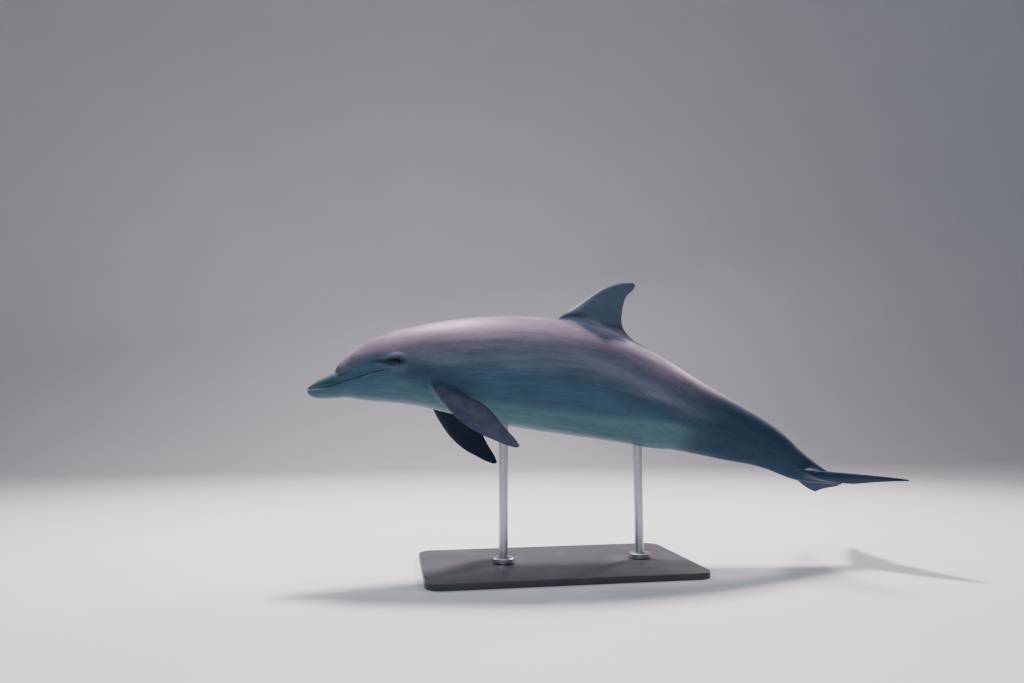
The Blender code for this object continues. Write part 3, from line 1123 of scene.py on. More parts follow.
# ---- the whole skin
@dataclass(frozen=True)
class Skin:
    """The animal's whole surface as one closed mesh, with its own lie for the markings."""

    pose: Pose
    body: Body
    eye: EyeRelief = EyeRelief()
    blowhole: Blowhole = Blowhole()
    belly: Belly = Belly()
    columns_up: int = 66
    columns_down: int = 36
    tip_end: float = 0.020
    tip_rings: int = 12
    tail_end: float = 2.350
    poles: Points = ((0.0, -0.001), (2.3518, 0.029))
    ring_step: float = 0.0145
    least_step: float = 0.0009
    head_turns: Span = (0.395, 0.62)
    least_sides: Span = (0.02, 0.004)
    crease_angle: float = math.radians(62)
    fin_places: Span = (0.95, 1.60)
    fin_above: float = 0.16
    flipper_places: Span = (0.45, 1.10)
    flipper_below: float = 0.06
    flipper_length: float = 0.35
    flipper_off: float = 0.001
    fluke_from: float = 1.97
    fluke_root: float = 0.05
    plug_sides: int = 96
    plug_levels: Points = ((0.0110, 0.97), (0.0175, 1.00), (0.0196, 1.02), (0.0212, 1.07),
                           (0.0226, 1.16), (0.0240, 1.32), (0.0330, 2.0))

    def stations(self) -> Array:
        """Places of rings, crowded at the beak's tip, crease, mouth corner and eye.

        Returns:
            The places, from tip to tail.
        """
        def spacing(place: Array) -> Array:
            """The step wanted at places, less where there is more to show.

            Args:
                place: Places along the body.

            Returns:
                The steps.
            """
            step = self.ring_step - 0.0110 * (1 - ease(0.40, 0.56, place))  # head
            step = step - 0.0012 * (1 - ease(0.125, 0.150, place))  # beak
            step = step - 0.0012 * bell(place - 0.112, 0.010)  # crease before the melon
            step = step - 0.0024 * window(place, 0.326, 0.374, 0.012)  # eye
            step = step - 0.0008 * window(place, 0.270, 0.310, 0.012)  # mouth corner
            step = step - 0.0050 * ease(1.98, 2.08, place)  # fluke roots
            step = step - 0.0075 * ease(2.300, 2.335, place)  # notch
            return np.maximum(step, self.least_step)

        tip = 0.0001 + self.tip_end * (np.arange(self.tip_rings) / self.tip_rings) ** 2
        return np.concatenate([tip, crowded(self.tip_end, self.tail_end, spacing)])

    def turns(self, place: Array) -> Array:
        """Angles of the rays at each place, from straight up round the left side and the right.

        On the head they crowd at the mouth, which is exactly one column, and at the eye.  On
        the body they even out along the girth.

        Args:
            place: Places of the rings.

        Returns:
            Angles in radians, as (ring, ray).
        """
        def spacing(degrees: Array) -> Array:
            """The step wanted at angles, in degrees: one over a sum of how dense rays are.

            Args:
                degrees: Angles from straight up.

            Returns:
                The steps in degrees.
            """
            plain, mouth, eye = 1 / 2.9, Swell(1.35, 90.0, 4.0), Swell(2.1, 77.5, 7.5)
            crown = Swell(0.65, 0.0, 9.0)
            return 1 / (plain + mouth.over(degrees) + eye.over(degrees) + crown.over(degrees))

        upper = crowded(0, 90, spacing, self.columns_up)
        lower = crowded(90, 180, spacing, self.columns_down)
        head = np.radians(np.concatenate([upper, lower[1:]]))
        count = self.columns_up + self.columns_down
        even = np.linspace(0, math.pi, count + 1)
        ring = self.body.trunk.at(place[:, None])
        side = np.maximum(ring.side, self.least_sides[0])
        stretch = np.maximum(ring.up, ring.down) / side
        girth = np.arctan2(np.sin(even), np.cos(even) * stretch)
        share = ease(*self.head_turns, place)[:, None]
        half = head * (1 - share) + girth * share
        return np.concatenate([half, 2 * math.pi - half[:, -2:0:-1]], 1)

    def surface(self) -> Array:
        """The body's rings in its own directions, with the relief carried along the normals.

        Returns:
            Points as (ring, point in the ring, x y z).
        """
        place = self.stations()
        turn = self.turns(place)
        high, out = self.body.rings(place, turn)
        at = place[:, None]
        rings = self.body.axis.to_space(at, high, out)
        normals = self.grid_normals(rings)
        lift = self.body.mouth.relief(at, high) + self.blowhole.relief(at, high, out)
        lift = lift + self.eye.relief(rings, normals) + self.belly.relief(at, high, out)
        return rings + normals * lift[..., None]

    def grid_normals(self, rings: Array) -> Array:
        """Outward normals of a grid of rings: the cross product of its two directions.

        Args:
            rings: Points as (ring, point in the ring, x y z).

        Returns:
            A normal at each point.
        """
        down = np.gradient(rings, axis=0)
        across = np.roll(rings, -1, 1) - np.roll(rings, 1, 1)
        normal = unit(np.cross(down, across))
        away = rings - rings.mean(1, keepdims=True)
        return normal * np.sign((normal * away).sum(-1).mean())

    def body_mesh(self) -> bpy.types.Mesh:
        """The body without its fins, closed at the beak's tip and inside the flukes.

        Returns:
            The mesh.
        """
        rings = self.surface()
        place, high = np.array(self.poles).T
        ends = self.body.axis.to_space(place, high, np.zeros(2))
        return closed_loft("skin", self.pose.to_frame(rings), *self.pose.to_frame(ends))

    def opening_mesh(self, side: Side) -> bpy.types.Mesh:
        """An almond plug that cuts the gap between the lids, wider outside for a rounded rim.

        Args:
            side: Which eye.

        Returns:
            The plug.
        """
        turn = np.linspace(0, 2 * math.pi, self.plug_sides, endpoint=False)
        aft = self.eye.length * np.cos(turn)
        tall = np.where(np.sin(turn) > 0, self.eye.upper, self.eye.lower)
        up = tall * np.sin(turn) * np.abs(np.sin(turn))
        cosine, sine = math.cos(self.eye.tilt), math.sin(self.eye.tilt)
        rings = []
        for level, size in self.plug_levels:
            x = self.eye.centre[0] + (aft * cosine - up * sine) * size
            z = self.eye.centre[2] + (aft * sine + up * cosine) * size
            y = np.full_like(x, -side.value * (self.eye.centre[1] + level))
            rings.append(np.stack([x, y, z], -1))
        rings = self.pose.to_frame(np.array(rings))
        return closed_loft("opening", rings, rings[0].mean(0), rings[-1].mean(0))

    def join(self, base: bpy.types.Object, other: bpy.types.Mesh, operation: str) -> None:
        """Unite a closed mesh with the base, or cut it away, and keep the result as its mesh.

        Args:
            base: The object that is changed.
            other: The closed mesh.
            operation: UNION or DIFFERENCE.
        """
        tool = show("tool", other)
        modifier = base.modifiers.new("join", "BOOLEAN")
        modifier.operation = operation
        modifier.solver = "MANIFOLD"
        modifier.object = tool
        graph = bpy.context.evaluated_depsgraph_get()
        made = bpy.data.meshes.new_from_object(base.evaluated_get(graph))
        base.modifiers.clear()
        old = base.data
        base.data = made
        bpy.data.meshes.remove(old)
        bpy.data.objects.remove(tool)

    def build(self) -> bpy.types.Object:
        """One skin: body, fin, flippers and flukes united, and the lids cut open.

        Returns:
            The skin, without its finish.
        """
        skin = show("skin", self.body_mesh())
        flare = Flare(self.body)
        limbs = [flare.mesh(DORSAL, dorsal_mount())]
        limbs += [flare.mesh(FLIPPER, flipper_mount(side)) for side in Side]
        limbs += [flare.mesh(FLUKE, fluke_mount(side)) for side in Side]
        for limb in limbs:
            self.stand_in_frame(limb)
            self.join(skin, limb, "UNION")
        for side in Side:
            self.join(skin, self.opening_mesh(side), "DIFFERENCE")
        skin.data.shade_smooth()
        skin.data.set_sharp_from_angle(angle=self.crease_angle)
        self.mark(skin.data)
        return skin

    def stand_in_frame(self, mesh: bpy.types.Mesh) -> None:
        """Carry a mesh from the body's own directions into the frame."""
        mesh.vertices.foreach_set("co", self.pose.to_frame(corners(mesh)).ravel())

    def mark(self, mesh: bpy.types.Mesh) -> None:
        """Store what the markings follow.

        "lie" is place, high and out.  "limb" is how far a point stands off the body on the
        dorsal fin, a flipper or a fluke.  "wrap" is the girth angle over 90 degrees, from -1 at
        the keel to 1 at the ridge, then the flipper's face and rim, then how far a point is over
        the mouth's line.

        Args:
            mesh: The whole skin.
        """
        own = self.pose.from_frame(corners(mesh))
        place, high, out = self.body.axis.to_axis(own)
        ring = self.body.trunk.at(place)
        rise = high - ring.middle
        reach = np.where(rise > 0, ring.up, ring.down)
        side = np.maximum(ring.side, self.least_sides[1])
        wrap = np.arctan2(rise / reach, np.abs(out) / side) * 2 / math.pi
        off = np.maximum(self.body.gap(own), 0)
        front, back = self.fin_places
        fin = off * (place > front) * (place < back) * (high > self.fin_above)
        fluke = np.maximum(off, np.abs(out) - self.fluke_root) * (place > self.fluke_from)
        front, back = self.flipper_places
        flipper = off * (place > front) * (place < back) * (high < self.flipper_below)
        mouth = high - self.body.mouth.height(place)
        store(mesh, "lie", np.stack([place, high, out], -1))
        store(mesh, "limb", np.stack([fin, flipper, np.maximum(fluke, 0)], -1))
        store(mesh, "wrap", np.stack([wrap, self.rim(own, flipper), mouth], -1))

    def rim(self, own: Array, flipper: Array) -> Array:
        """From 0 in the middle of a flipper's outer face through 1 at its edges to 2 inside.

        Args:
            own: Points in the body's own directions.
            flipper: How far each stands off the body on a flipper.

        Returns:
            The number at each point.
        """
        mirrored = own * (1, -1, 1)
        near = np.where(own[:, 1:2] < 0, own, mirrored)
        mount = flipper_mount(Side.LEFT)
        away = near - np.array(mount.origin)
        span, through = away @ mount.across, away @ mount.through
        half = spread(FLIPPER.thick, np.clip(span / self.flipper_length, 0, 1)) / 2
        return (1 - np.clip(through / half, -1, 1)) * (flipper > self.flipper_off)


# ---- shader maths
def tone(red: int, green: int, blue: int) -> Colour:
    """A linear colour from screen values of 0 to 255, by the power 2.2."""
    return tuple((channel / 255) ** 2.2 for channel in (red, green, blue))


class Value:
    """A number in a material, on which Python's operators write Math nodes."""

    def __init__(self, tree: "Tree", socket: bpy.types.NodeSocket) -> None:
        """Hold the tree that it belongs to and the socket that gives it."""
        self.tree = tree
        self.socket = socket

    def __add__(self, other: "Value | float") -> "Value":
        """The sum."""
        return self.tree.math("ADD", self, other)

    def __sub__(self, other: "Value | float") -> "Value":
        """The difference."""
        return self.tree.math("SUBTRACT", self, other)

    def __rsub__(self, other: float) -> "Value":
        """A number less this."""
        return self.tree.math("SUBTRACT", other, self)

    def __mul__(self, other: "Value | float") -> "Value":
        """The product."""
        return self.tree.math("MULTIPLY", self, other)

    def __pow__(self, other: float) -> "Value":
        """The power."""
        return self.tree.math("POWER", self, other)

    def __abs__(self) -> "Value":
        """This without its sign."""
        return self.tree.math("ABSOLUTE", self)

    def greater(self, other: "Value | float") -> "Value":
        """The greater of the two."""
        return self.tree.math("MAXIMUM", self, other)

    def sway(self, width: float) -> "Value":
        """Noise round 0.5 as a shift to either side."""
        return (self - 0.5) * width

    __radd__ = __add__
    __rmul__ = __mul__


Number = Value | float
Hue = Colour | bpy.types.NodeSocket


class Tree:
    """Writes one material's nodes, and holds its colour so far."""

    def __init__(self, name: str, coat: Hue) -> None:
        """Start a material that holds only its shader and its output.

        Args:
            name: The material's name.
            coat: Its first colour.
        """
        self.material = bpy.data.materials.new(name)
        self.material.use_nodes = True
        self.nodes = self.material.node_tree.nodes
        self.links = self.material.node_tree.links
        self.shader = self.nodes["Principled BSDF"]
        self.coat = coat

    def plug(self, socket: bpy.types.NodeSocket, value: object) -> None:
        """Link a value or a socket, or write a number or a colour.

        Args:
            socket: The input.
            value: What goes into it.
        """
        if isinstance(value, Value):
            value = value.socket
        if isinstance(value, bpy.types.NodeSocket):
            self.links.new(value, socket)
        elif isinstance(value, tuple) and socket.type == "RGBA":
            socket.default_value = (*value, 1)
        else:
            socket.default_value = value

    def node(self, kind: str, settings: Mapping[str, object] | None = None,
             sockets: Mapping[str | int, object] | None = None) -> bpy.types.Node:
        """Add a node.

        Args:
            kind: The node's type, without "ShaderNode".
            settings: Its settings, which are made first.
            sockets: Values or links by the input's name or number.

        Returns:
            The node.
        """
        made = self.nodes.new("ShaderNode" + kind)
        for key, value in (settings or {}).items():
            setattr(made, key, value)
        for key, value in (sockets or {}).items():
            self.plug(made.inputs[key], value)
        return made

    def math(self, operation: str, *values: Number) -> Value:
        """One Math node's result."""
        made = self.node("Math", {"operation": operation}, dict(enumerate(values)))
        return Value(self, made.outputs[0])

    def mix(self, share: Value, low: Hue, high: Hue) -> bpy.types.NodeSocket:
        """Blend two colours by a share.

        Args:
            share: How much of the second shows.
            low: The first colour.
            high: The second.

        Returns:
            The blend.
        """
        made = self.node("Mix", {"data_type": "RGBA", "clamp_factor": True},
                         {0: share, 6: low, 7: high})
        return made.outputs[2]

    def paint(self, share: Value, hue: Hue) -> None:
        """Lay a colour over the colour so far, as thick as a share says."""
        self.coat = self.mix(share, self.coat, hue)

    def parts(self, name: str) -> tuple[bpy.types.NodeSocket, Value, Value, Value]:
        """An attribute's vector and its three numbers.

        Args:
            name: The attribute's name.

        Returns:
            The vector, then each number.
        """
        source = self.node("Attribute", {"attribute_name": name}).outputs["Vector"]
        split = self.node("SeparateXYZ", {}, {0: source})
        return (source, *(Value(self, out) for out in split.outputs))

    def scaled(self, vector: bpy.types.NodeSocket, size: Triple) -> bpy.types.NodeSocket:
        """A vector times three numbers."""
        return self.node("VectorMath", {"operation": "MULTIPLY"}, {0: vector, 1: size}).outputs[0]

    def here(self) -> bpy.types.NodeSocket:
        """The point's own coordinates."""
        return self.node("TexCoord").outputs["Object"]

    def noise(self, vector: bpy.types.NodeSocket, scale: float = 1.0, detail: float = 3.0,
              rough: float = 0.55, warp: float = 0.0) -> Value:
        """Smooth noise round 0.5.

        Args:
            vector: Where it is read.
            scale: How often it changes.
            detail: Its layers.
            rough: How strong the finer layers are.
            warp: How much it is twisted.

        Returns:
            The noise.
        """
        made = self.node("TexNoise", {}, {"Vector": vector, "Scale": scale, "Detail": detail,
                                          "Roughness": rough, "Distortion": warp})
        return Value(self, made.outputs["Fac"])

    def cells(self, vector: bpy.types.NodeSocket, scale: float) -> Value:
        """The distance to the nearest of points scattered one to a cell."""
        made = self.node("TexVoronoi", {}, {"Vector": vector, "Scale": scale})
        return Value(self, made.outputs["Distance"])

    def relief(self, height: Value, distance: float, strength: float) -> None:
        """Feed a height in shares of a distance to the shader's normal."""
        bump = self.node("Bump", {}, {"Height": height, "Strength": strength, "Distance": distance})
        self.plug(self.shader.inputs["Normal"], bump.outputs[0])

    def finish(self, roughness: Number, **uniform: float) -> bpy.types.Material:
        """Set the shader's colour and roughness, and its even sockets by name.

        Args:
            roughness: A number or a value.
            uniform: Numbers by their sockets' names in small letters.

        Returns:
            The material.
        """
        self.plug(self.shader.inputs["Base Color"], self.coat)
        self.plug(self.shader.inputs["Roughness"], roughness)
        for key, value in uniform.items():
            name = key.replace("_", " ").title().replace("Ior", "IOR")
            self.shader.inputs[name].default_value = value
        return self.material


def apart(one: Value, two: Value) -> Value:
    """How far from the middle a point lies, from its two distances along square directions."""
    return one.tree.math("SQRT", one ** 2.0 + two ** 2.0)


# ---- where a colour lies
@dataclass(frozen=True)
class Edge:
    """A share that is 0 up to its start and 1 from full on, either way along, smooth between."""

    start: float
    full: float

    def on(self, value: Value) -> Value:
        """The share at a value.

        Args:
            value: What it depends on.

        Returns:
            The share.
        """
        falls = self.start > self.full
        made = value.tree.node("MapRange", {"interpolation_type": "SMOOTHSTEP"},
                               {"Value": value, "From Min": min(self.start, self.full),
                                "From Max": max(self.start, self.full),
                                "To Min": float(falls), "To Max": float(not falls)})
        return Value(value.tree, made.outputs["Result"])


@dataclass(frozen=True)
class Hill:
    """A share that is 1 at its middle, and 0 past its reach on either side."""

    middle: float
    reach: float

    def on(self, value: Value) -> Value:
        """The share at a value."""
        return Edge(self.reach, 0.0).on(abs(value - self.middle))


@dataclass(frozen=True)
class Stretch:
    """A share that comes in from its start to full, and goes out from fade to its end."""

    start: float
    full: float
    fade: float
    end: float

    def on(self, value: Value) -> Value:
        """The share at a value."""
        return Edge(self.start, self.full).on(value) * Edge(self.end, self.fade).on(value)


Fade = Edge | Hill | Stretch


@dataclass(frozen=True)
class Patch:
    """A patch of one colour: how it fades across and along the body, and how strong it is."""

    across: Fade
    along: Fade
    hue: Colour
    strength: float = 1.0

    def paint(self, across: Value, along: Value, part: Number = 1.0) -> None:
        """Lay it over the colour so far, as thick as its two shares and a further one say."""
        share = self.across.on(across) * self.along.on(along) * self.strength
        across.tree.paint(share * part, self.hue)


# ---- the skin's finish
@dataclass(frozen=True)
class Hues:
    """The skin's colours."""

    cape: Colour = tone(112, 102, 117)
    flank: Colour = tone(88, 97, 113)
    low_flank: Colour = tone(58, 82, 98)
    belly: Colour = tone(76, 107, 112)
    throat: Colour = tone(62, 89, 97)
    stock: Colour = tone(44, 63, 79)
    beak: Colour = tone(47, 67, 76)
    lip: Colour = tone(150, 152, 160)
    # dark: markings, and also painted shade on the melon, in the crease at the beak's foot, round
    # the eye and round the fin.
    dark: Colour = tone(30, 44, 60)
    # light: the pale streak's colour, and also the painted highlight on the brow.
    light: Colour = tone(126, 128, 144)
    fin: Colour = tone(78, 90, 106)
    flipper: Colour = tone(80, 80, 98)
    flipper_cool: Colour = tone(54, 64, 82)
    flipper_edge: Colour = tone(12, 16, 26)
    # Painted shade on the flippers' inner faces.
    flipper_inside_shade: Colour = tone(30, 40, 54)
    fluke: Colour = tone(42, 55, 71)
    # Painted shade on the flukes' underside.
    fluke_underside_shade: Colour = tone(16, 40, 58)
    scar: Colour = tone(140, 146, 158)


HUES = Hues()


class Lie:
    """What the markings follow: where a point lies on the animal, and noises drawn along it."""

    def __init__(self, tree: Tree) -> None:
        """Read what Skin.mark stored, and draw the noises.

        Args:
            tree: The material.
        """
        self.vector, self.place, self.high, _ = tree.parts("lie")
        _, self.fin, self.flipper, self.fluke = tree.parts("limb")
        _, self.wrap, self.rim, self.mouth = tree.parts("wrap")
        self.streak = tree.noise(tree.scaled(self.vector, (3.0, 30.0, 30.0)), detail=4.0,
                                 rough=0.6, warp=0.3)
        self.thread = tree.noise(tree.scaled(self.vector, (7.0, 110.0, 110.0)), rough=0.6, warp=0.2)
        self.broad = tree.noise(tree.scaled(self.vector, (1.6, 7.0, 7.0)), rough=0.5, warp=0.5)
        self.mottle = tree.noise(tree.here(), 21.0, detail=5.0, rough=0.62)
        self.fine = tree.noise(tree.here(), 170.0, rough=0.6)


STREAKED = Stretch(0.92, 1.10, 1.46, 1.74)


@dataclass(frozen=True)
class Flanks:
    """Cape, sides and belly that meet along ragged lines, and the streaks below the fin."""

    broad_sway: float = 0.34
    streak_sway: float = 0.20
    cape: Edge = Edge(0.02, 0.40)
    low: Edge = Edge(0.02, -0.26)
    aft: Edge = Edge(1.34, 1.80)
    stock: Edge = Edge(0.50, 0.05)
    stock_climb: float = 0.45
    line_from: float = 0.085
    line_fall: Edge = Edge(1.06, 1.38)
    line_depth: float = 0.13
    line_sway: float = 0.10
    dark_below: Patch = Patch(Hill(-0.17, 0.13), STREAKED, HUES.dark, 0.26)
    dark_above: Patch = Patch(Hill(0.16, 0.12), STREAKED, HUES.dark, 0.26)
    above_from: Edge = Edge(1.02, 1.16)
    pale: Patch = Patch(Hill(0.0, 0.09), STREAKED, HUES.light, 0.20)
    belly_from: float = 0.50
    belly_climb: Edge = Edge(1.12, 1.60)
    belly_rise: float = 0.19
    belly: Patch = Patch(Edge(0.05, -0.09), Edge(1.66, 1.50), HUES.belly)
    belly_sways: Triple = (0.16, 0.10, 0.5)

    def paint(self, tree: Tree, at: Lie) -> None:
        """Cape over flank over belly by the girth angle, and a darker tail stock.

        Args:
            tree: The material.
            at: What the markings follow.
        """
        girth = at.wrap + at.broad.sway(self.broad_sway) + at.streak.sway(self.streak_sway)
        tree.paint(self.cape.on(girth), HUES.cape)
        tree.paint(self.low.on(girth), HUES.low_flank)
        aft = self.aft.on(at.place)
        tree.paint(aft * self.stock.on(girth - aft * self.stock_climb), HUES.stock)
        self.streaks(at)
        self.underside(at)

    def streaks(self, at: Lie) -> None:
        """A pale streak that slopes down the flank below the fin, between two darker ones.

        Args:
            at: What the markings follow.
        """
        line = at.wrap - self.line_from + self.line_fall.on(at.place) * self.line_depth
        line = line + at.streak.sway(self.line_sway)
        self.dark_below.paint(line, at.place)
        self.dark_above.paint(line, at.place, self.above_from.on(at.place))
        self.pale.paint(line, at.place)

    def underside(self, at: Lie) -> None:
        """A pale belly below a ragged line that rises towards the tail and ends there.

        Args:
            at: What the markings follow.
        """
        streak, thread, along_it = self.belly_sways
        ragged = at.streak.sway(streak) + at.thread.sway(thread)
        rise = self.belly_climb.on(at.place) * self.belly_rise
        line = at.wrap + self.belly_from - rise + ragged
        self.belly.paint(line, at.place + ragged * along_it)


@dataclass(frozen=True)
class Head:
    """Throat, beak, lips, the dark round the eye, the dark band behind it, and painted shade and a
    painted highlight.
    """

    sway: float = 0.012
    throat_from: float = 0.049
    throat_bend: float = 0.331
    throat_slope: float = 0.58
    throat: tuple[Edge, Edge] = (Edge(0.010, -0.010), Edge(0.62, 0.50))
    jaw: tuple[Edge, Edge] = (Edge(0.012, -0.006), Edge(0.36, 0.28))
    # Painted shade: the upper front of the melon darker, where it turns from the light.
    melon: Patch = Patch(Edge(0.05, 0.09), Hill(0.19, 0.12), HUES.dark, 0.16)
    top: Patch = Patch(Edge(-0.002, 0.010), Edge(0.140, 0.100), HUES.beak, 0.85)
    tip: Patch = Patch(Hill(-0.004, 0.0065), Edge(0.100, 0.010), HUES.lip, 0.8)
    groove: Patch = Patch(Hill(0.0, 0.0036), Stretch(0.0, 0.14, 0.31, 0.34), HUES.dark, 0.75)
    # The lower flank's colour up the cheek and the melon's lower front: partly the animal's paler
    # lower colour, partly painted shade.
    cheek: Patch = Patch(Edge(0.078, 0.040), Hill(0.24, 0.18), HUES.low_flank, 0.85)
    # Painted shade in the crease where the melon overhangs the beak.
    beak_foot: Patch = Patch(Hill(0.0, 0.008), Hill(0.145, 0.05), HUES.dark, 0.55)
    foot_over: float = 0.036
    foot_slope: float = 0.04
    # Painted highlight along the brow ridge over the eye.
    brow: Patch = Patch(Hill(0.0, 0.011), Hill(0.35, 0.07), HUES.light, 0.7)
    brow_top: Span = (0.345, 0.122)
    brow_curve: float = 5.0
    stripe: Patch = Patch(Hill(0.093, 0.015), Stretch(0.225, 0.29, 0.33, 0.36), HUES.dark, 0.75)
    # The dark round the eye is the animal's eye patch, made darker as painted shade of the lids.
    eye: Span = (0.344, 0.0885)
    eye_squeeze: float = 0.38
    eye_edge: Edge = Edge(0.024, 0.010)
    eye_strength: float = 0.86
    behind: Patch = Patch(Hill(0.0, 0.075), Stretch(0.34, 0.42, 0.56, 0.74), HUES.dark)
    behind_from: Span = (0.35, 0.080)
    behind_slope: float = 0.34
    behind_front: Edge = Edge(0.54, 0.44)
    behind_strength: Span = (0.36, 0.18)

    def paint(self, tree: Tree, at: Lie) -> None:
        """Lay the patches from the throat up to the eye.

        Args:
            tree: The material.
            at: What the markings follow.
        """
        wander = at.streak.sway(self.sway)
        bend = (at.place - self.throat_bend).greater(0.0) * self.throat_slope
        throat = self.throat[0].on(at.high - self.throat_from + bend + wander)
        throat = throat * self.throat[1].on(at.place)
        jaw = self.jaw[0].on(at.mouth + wander) * self.jaw[1].on(at.place)
        tree.paint(throat.greater(jaw), HUES.throat)
        # The melon patch is painted shade.
        for patch in (self.melon, self.top, self.tip, self.groove):
            patch.paint(at.mouth, at.place)
        # Cheek: partly the animal's lower colour, partly painted shade.
        self.cheek.paint(at.mouth + wander, at.place)
        # Painted shade in the crease at the beak's foot.
        foot = at.mouth - self.foot_over + at.place * self.foot_slope
        self.beak_foot.paint(foot, at.place)
        # Painted highlight along the brow ridge.
        place, high = self.brow_top
        arch = at.high - high + (at.place - place) ** 2.0 * self.brow_curve
        self.brow.paint(arch, at.place)
        self.stripe.paint(at.high, at.place)
        # Eye patch, darkened further as painted shade of the lids.
        place, high = self.eye
        away = apart((at.place - place) * self.eye_squeeze, at.high - high)
        tree.paint(self.eye_edge.on(away) * self.eye_strength, HUES.dark)
        place, high = self.behind_from
        band = at.high - high + (at.place - place) * self.behind_slope + wander
        least, more = self.behind_strength
        self.behind.paint(band, at.place, self.behind_front.on(at.place) * more + least)


@dataclass(frozen=True)
class Limbs:
    """A slate fin, mauve flippers with dark edges, and dark flukes; painted shade makes the
    flippers' inner faces and the flukes' bluer underside darker.
    """

    fin: Edge = Edge(0.0, 0.014)
    cool: Edge = Edge(0.30, 0.70)
    # Painted shade: the flippers' inner faces darker.
    inside: Edge = Edge(0.95, 1.15)
    flipper: Edge = Edge(0.004, 0.045)
    rim: Patch = Patch(Hill(1.0, 0.30), Edge(0.025, 0.080), HUES.flipper_edge)
    root: Stretch = Stretch(0.0, 0.010, 0.025, 0.075)
    root_strength: float = 0.4
    fluke: Edge = Edge(0.003, 0.020)
    # Painted shade: the flukes' underside darker and bluer.
    under: Patch = Patch(Edge(0.032, 0.027), Edge(0.004, 0.030), HUES.fluke_underside_shade)

    def paint(self, tree: Tree, at: Lie) -> None:
        """Lay each limb's colour by how far a point stands off the body.

        Args:
            tree: The material.
            at: What the markings follow.
        """
        tree.paint(self.fin.on(at.fin), HUES.fin)
        mauve = tree.mix(self.cool.on(at.mottle), HUES.flipper, HUES.flipper_cool)
        # Painted shade on the flippers' inner faces.
        mauve = tree.mix(self.inside.on(at.rim), mauve, HUES.flipper_inside_shade)
        tree.paint(self.flipper.on(at.flipper), mauve)
        self.rim.paint(at.rim, at.flipper)
        tree.paint(self.root.on(at.flipper) * self.root_strength, HUES.dark)
        tree.paint(self.fluke.on(at.fluke), HUES.fluke)
        # Painted shade on the flukes' underside.
        self.under.paint(at.high, at.fluke)


@dataclass(frozen=True)
class FinShadow:
    """Painted shade: the dorsal fin's shadow on the flank round its foot, and a darker ridge behind
    it.
    """

    low: float = 0.37
    middle: float = 1.16
    slope: float = 2.2
    drop: Edge = Edge(1.23, 1.33)
    drop_depth: float = 0.30
    edge: Edge = Edge(-0.12, 0.10)
    edge_sway: float = 0.24
    behind: tuple[Edge, Stretch] = (Edge(0.52, 0.68), Stretch(1.14, 1.22, 1.30, 1.38))
    front: float = 1.13
    front_curve: float = 90.0
    rear: float = 1.14
    rear_curve: float = 16.0
    deep: Edge = Edge(-0.07, 0.09)
    deep_sway: float = 0.12
    foot: Edge = Edge(0.0, 0.008)
    strength: Span = (0.72, 0.24)
    ridge: tuple[Edge, Stretch] = (Edge(0.34, 0.56), Stretch(1.24, 1.30, 1.38, 1.52))
    ridge_strength: float = 0.30
    shaded: Stretch = Stretch(1.08, 1.16, 1.17, 1.24)
    shaded_less: float = 0.022
    climb: Edge = Edge(0.065, 0.020)

    def share(self, at: Lie) -> Value:
        """How thick the painted shade is: deepest at the fin's foot, then out over the flank and up
        the fin.

        Args:
            at: What the markings follow.

        Returns:
            The share.
        """
        over = at.wrap - self.low
        below = over - abs(at.place - self.middle) * self.slope
        below = below - self.drop.on(at.place) * self.drop_depth
        below = self.edge.on(below + at.streak.sway(self.edge_sway))
        behind = self.behind[0].on(at.wrap) * self.behind[1].on(at.place)
        rise = (self.front - at.place).greater(0.0) ** 2.0 * self.front_curve
        rise = rise + (at.place - self.rear).greater(0.0) ** 2.0 * self.rear_curve
        deep = self.deep.on(over - rise + at.streak.sway(self.deep_sway))
        least, more = self.strength
        near = self.foot.on(at.fin).greater(deep) * more + least
        climb = self.climb.on(at.fin + self.shaded.on(at.place) * self.shaded_less)
        foot = below.greater(behind) * climb * near
        ridge = self.ridge[0].on(at.wrap) * self.ridge[1].on(at.place)
        return foot.greater(ridge * self.ridge_strength)


@dataclass(frozen=True)
class Marks:
    """Short pale scratches, some level and some slanting, and a few spots."""

    cluster: Triple = (4.0, 8.0, 8.0)
    scratched: Edge = Edge(0.52, 0.66)
    side: Hill = Hill(-0.20, 0.60)
    slants: Points = ((0.18, 150.0), (-0.55, 190.0))
    length: float = 13.0
    cut: Edge = Edge(0.685, 0.735)
    cut_strength: float = 0.30
    dots: float = 17.0
    dot: Edge = Edge(0.055, 0.033)
    dotted: Edge = Edge(0.48, 0.42)
    dot_strength: float = 0.14

    def paint(self, tree: Tree, at: Lie) -> None:
        """Cut thin scratches from noise that is drawn out along each slant.

        Args:
            tree: The material.
            at: What the markings follow.
        """
        cluster = tree.noise(tree.scaled(at.vector, self.cluster), detail=1.0)
        side = self.scratched.on(cluster) * self.side.on(at.wrap)
        for slant, dense in self.slants:
            across = (at.high + at.place * slant) * dense
            drawn = tree.node("CombineXYZ", {}, {0: at.place * self.length, 1: across, 2: 0.0})
            cut = self.cut.on(tree.noise(drawn.outputs[0], detail=1.0))
            tree.paint(cut * side * self.cut_strength, HUES.scar)
        dots = self.dot.on(tree.cells(at.vector, self.dots)) * self.dotted.on(cluster)
        tree.paint(dots * self.dot_strength, HUES.scar)


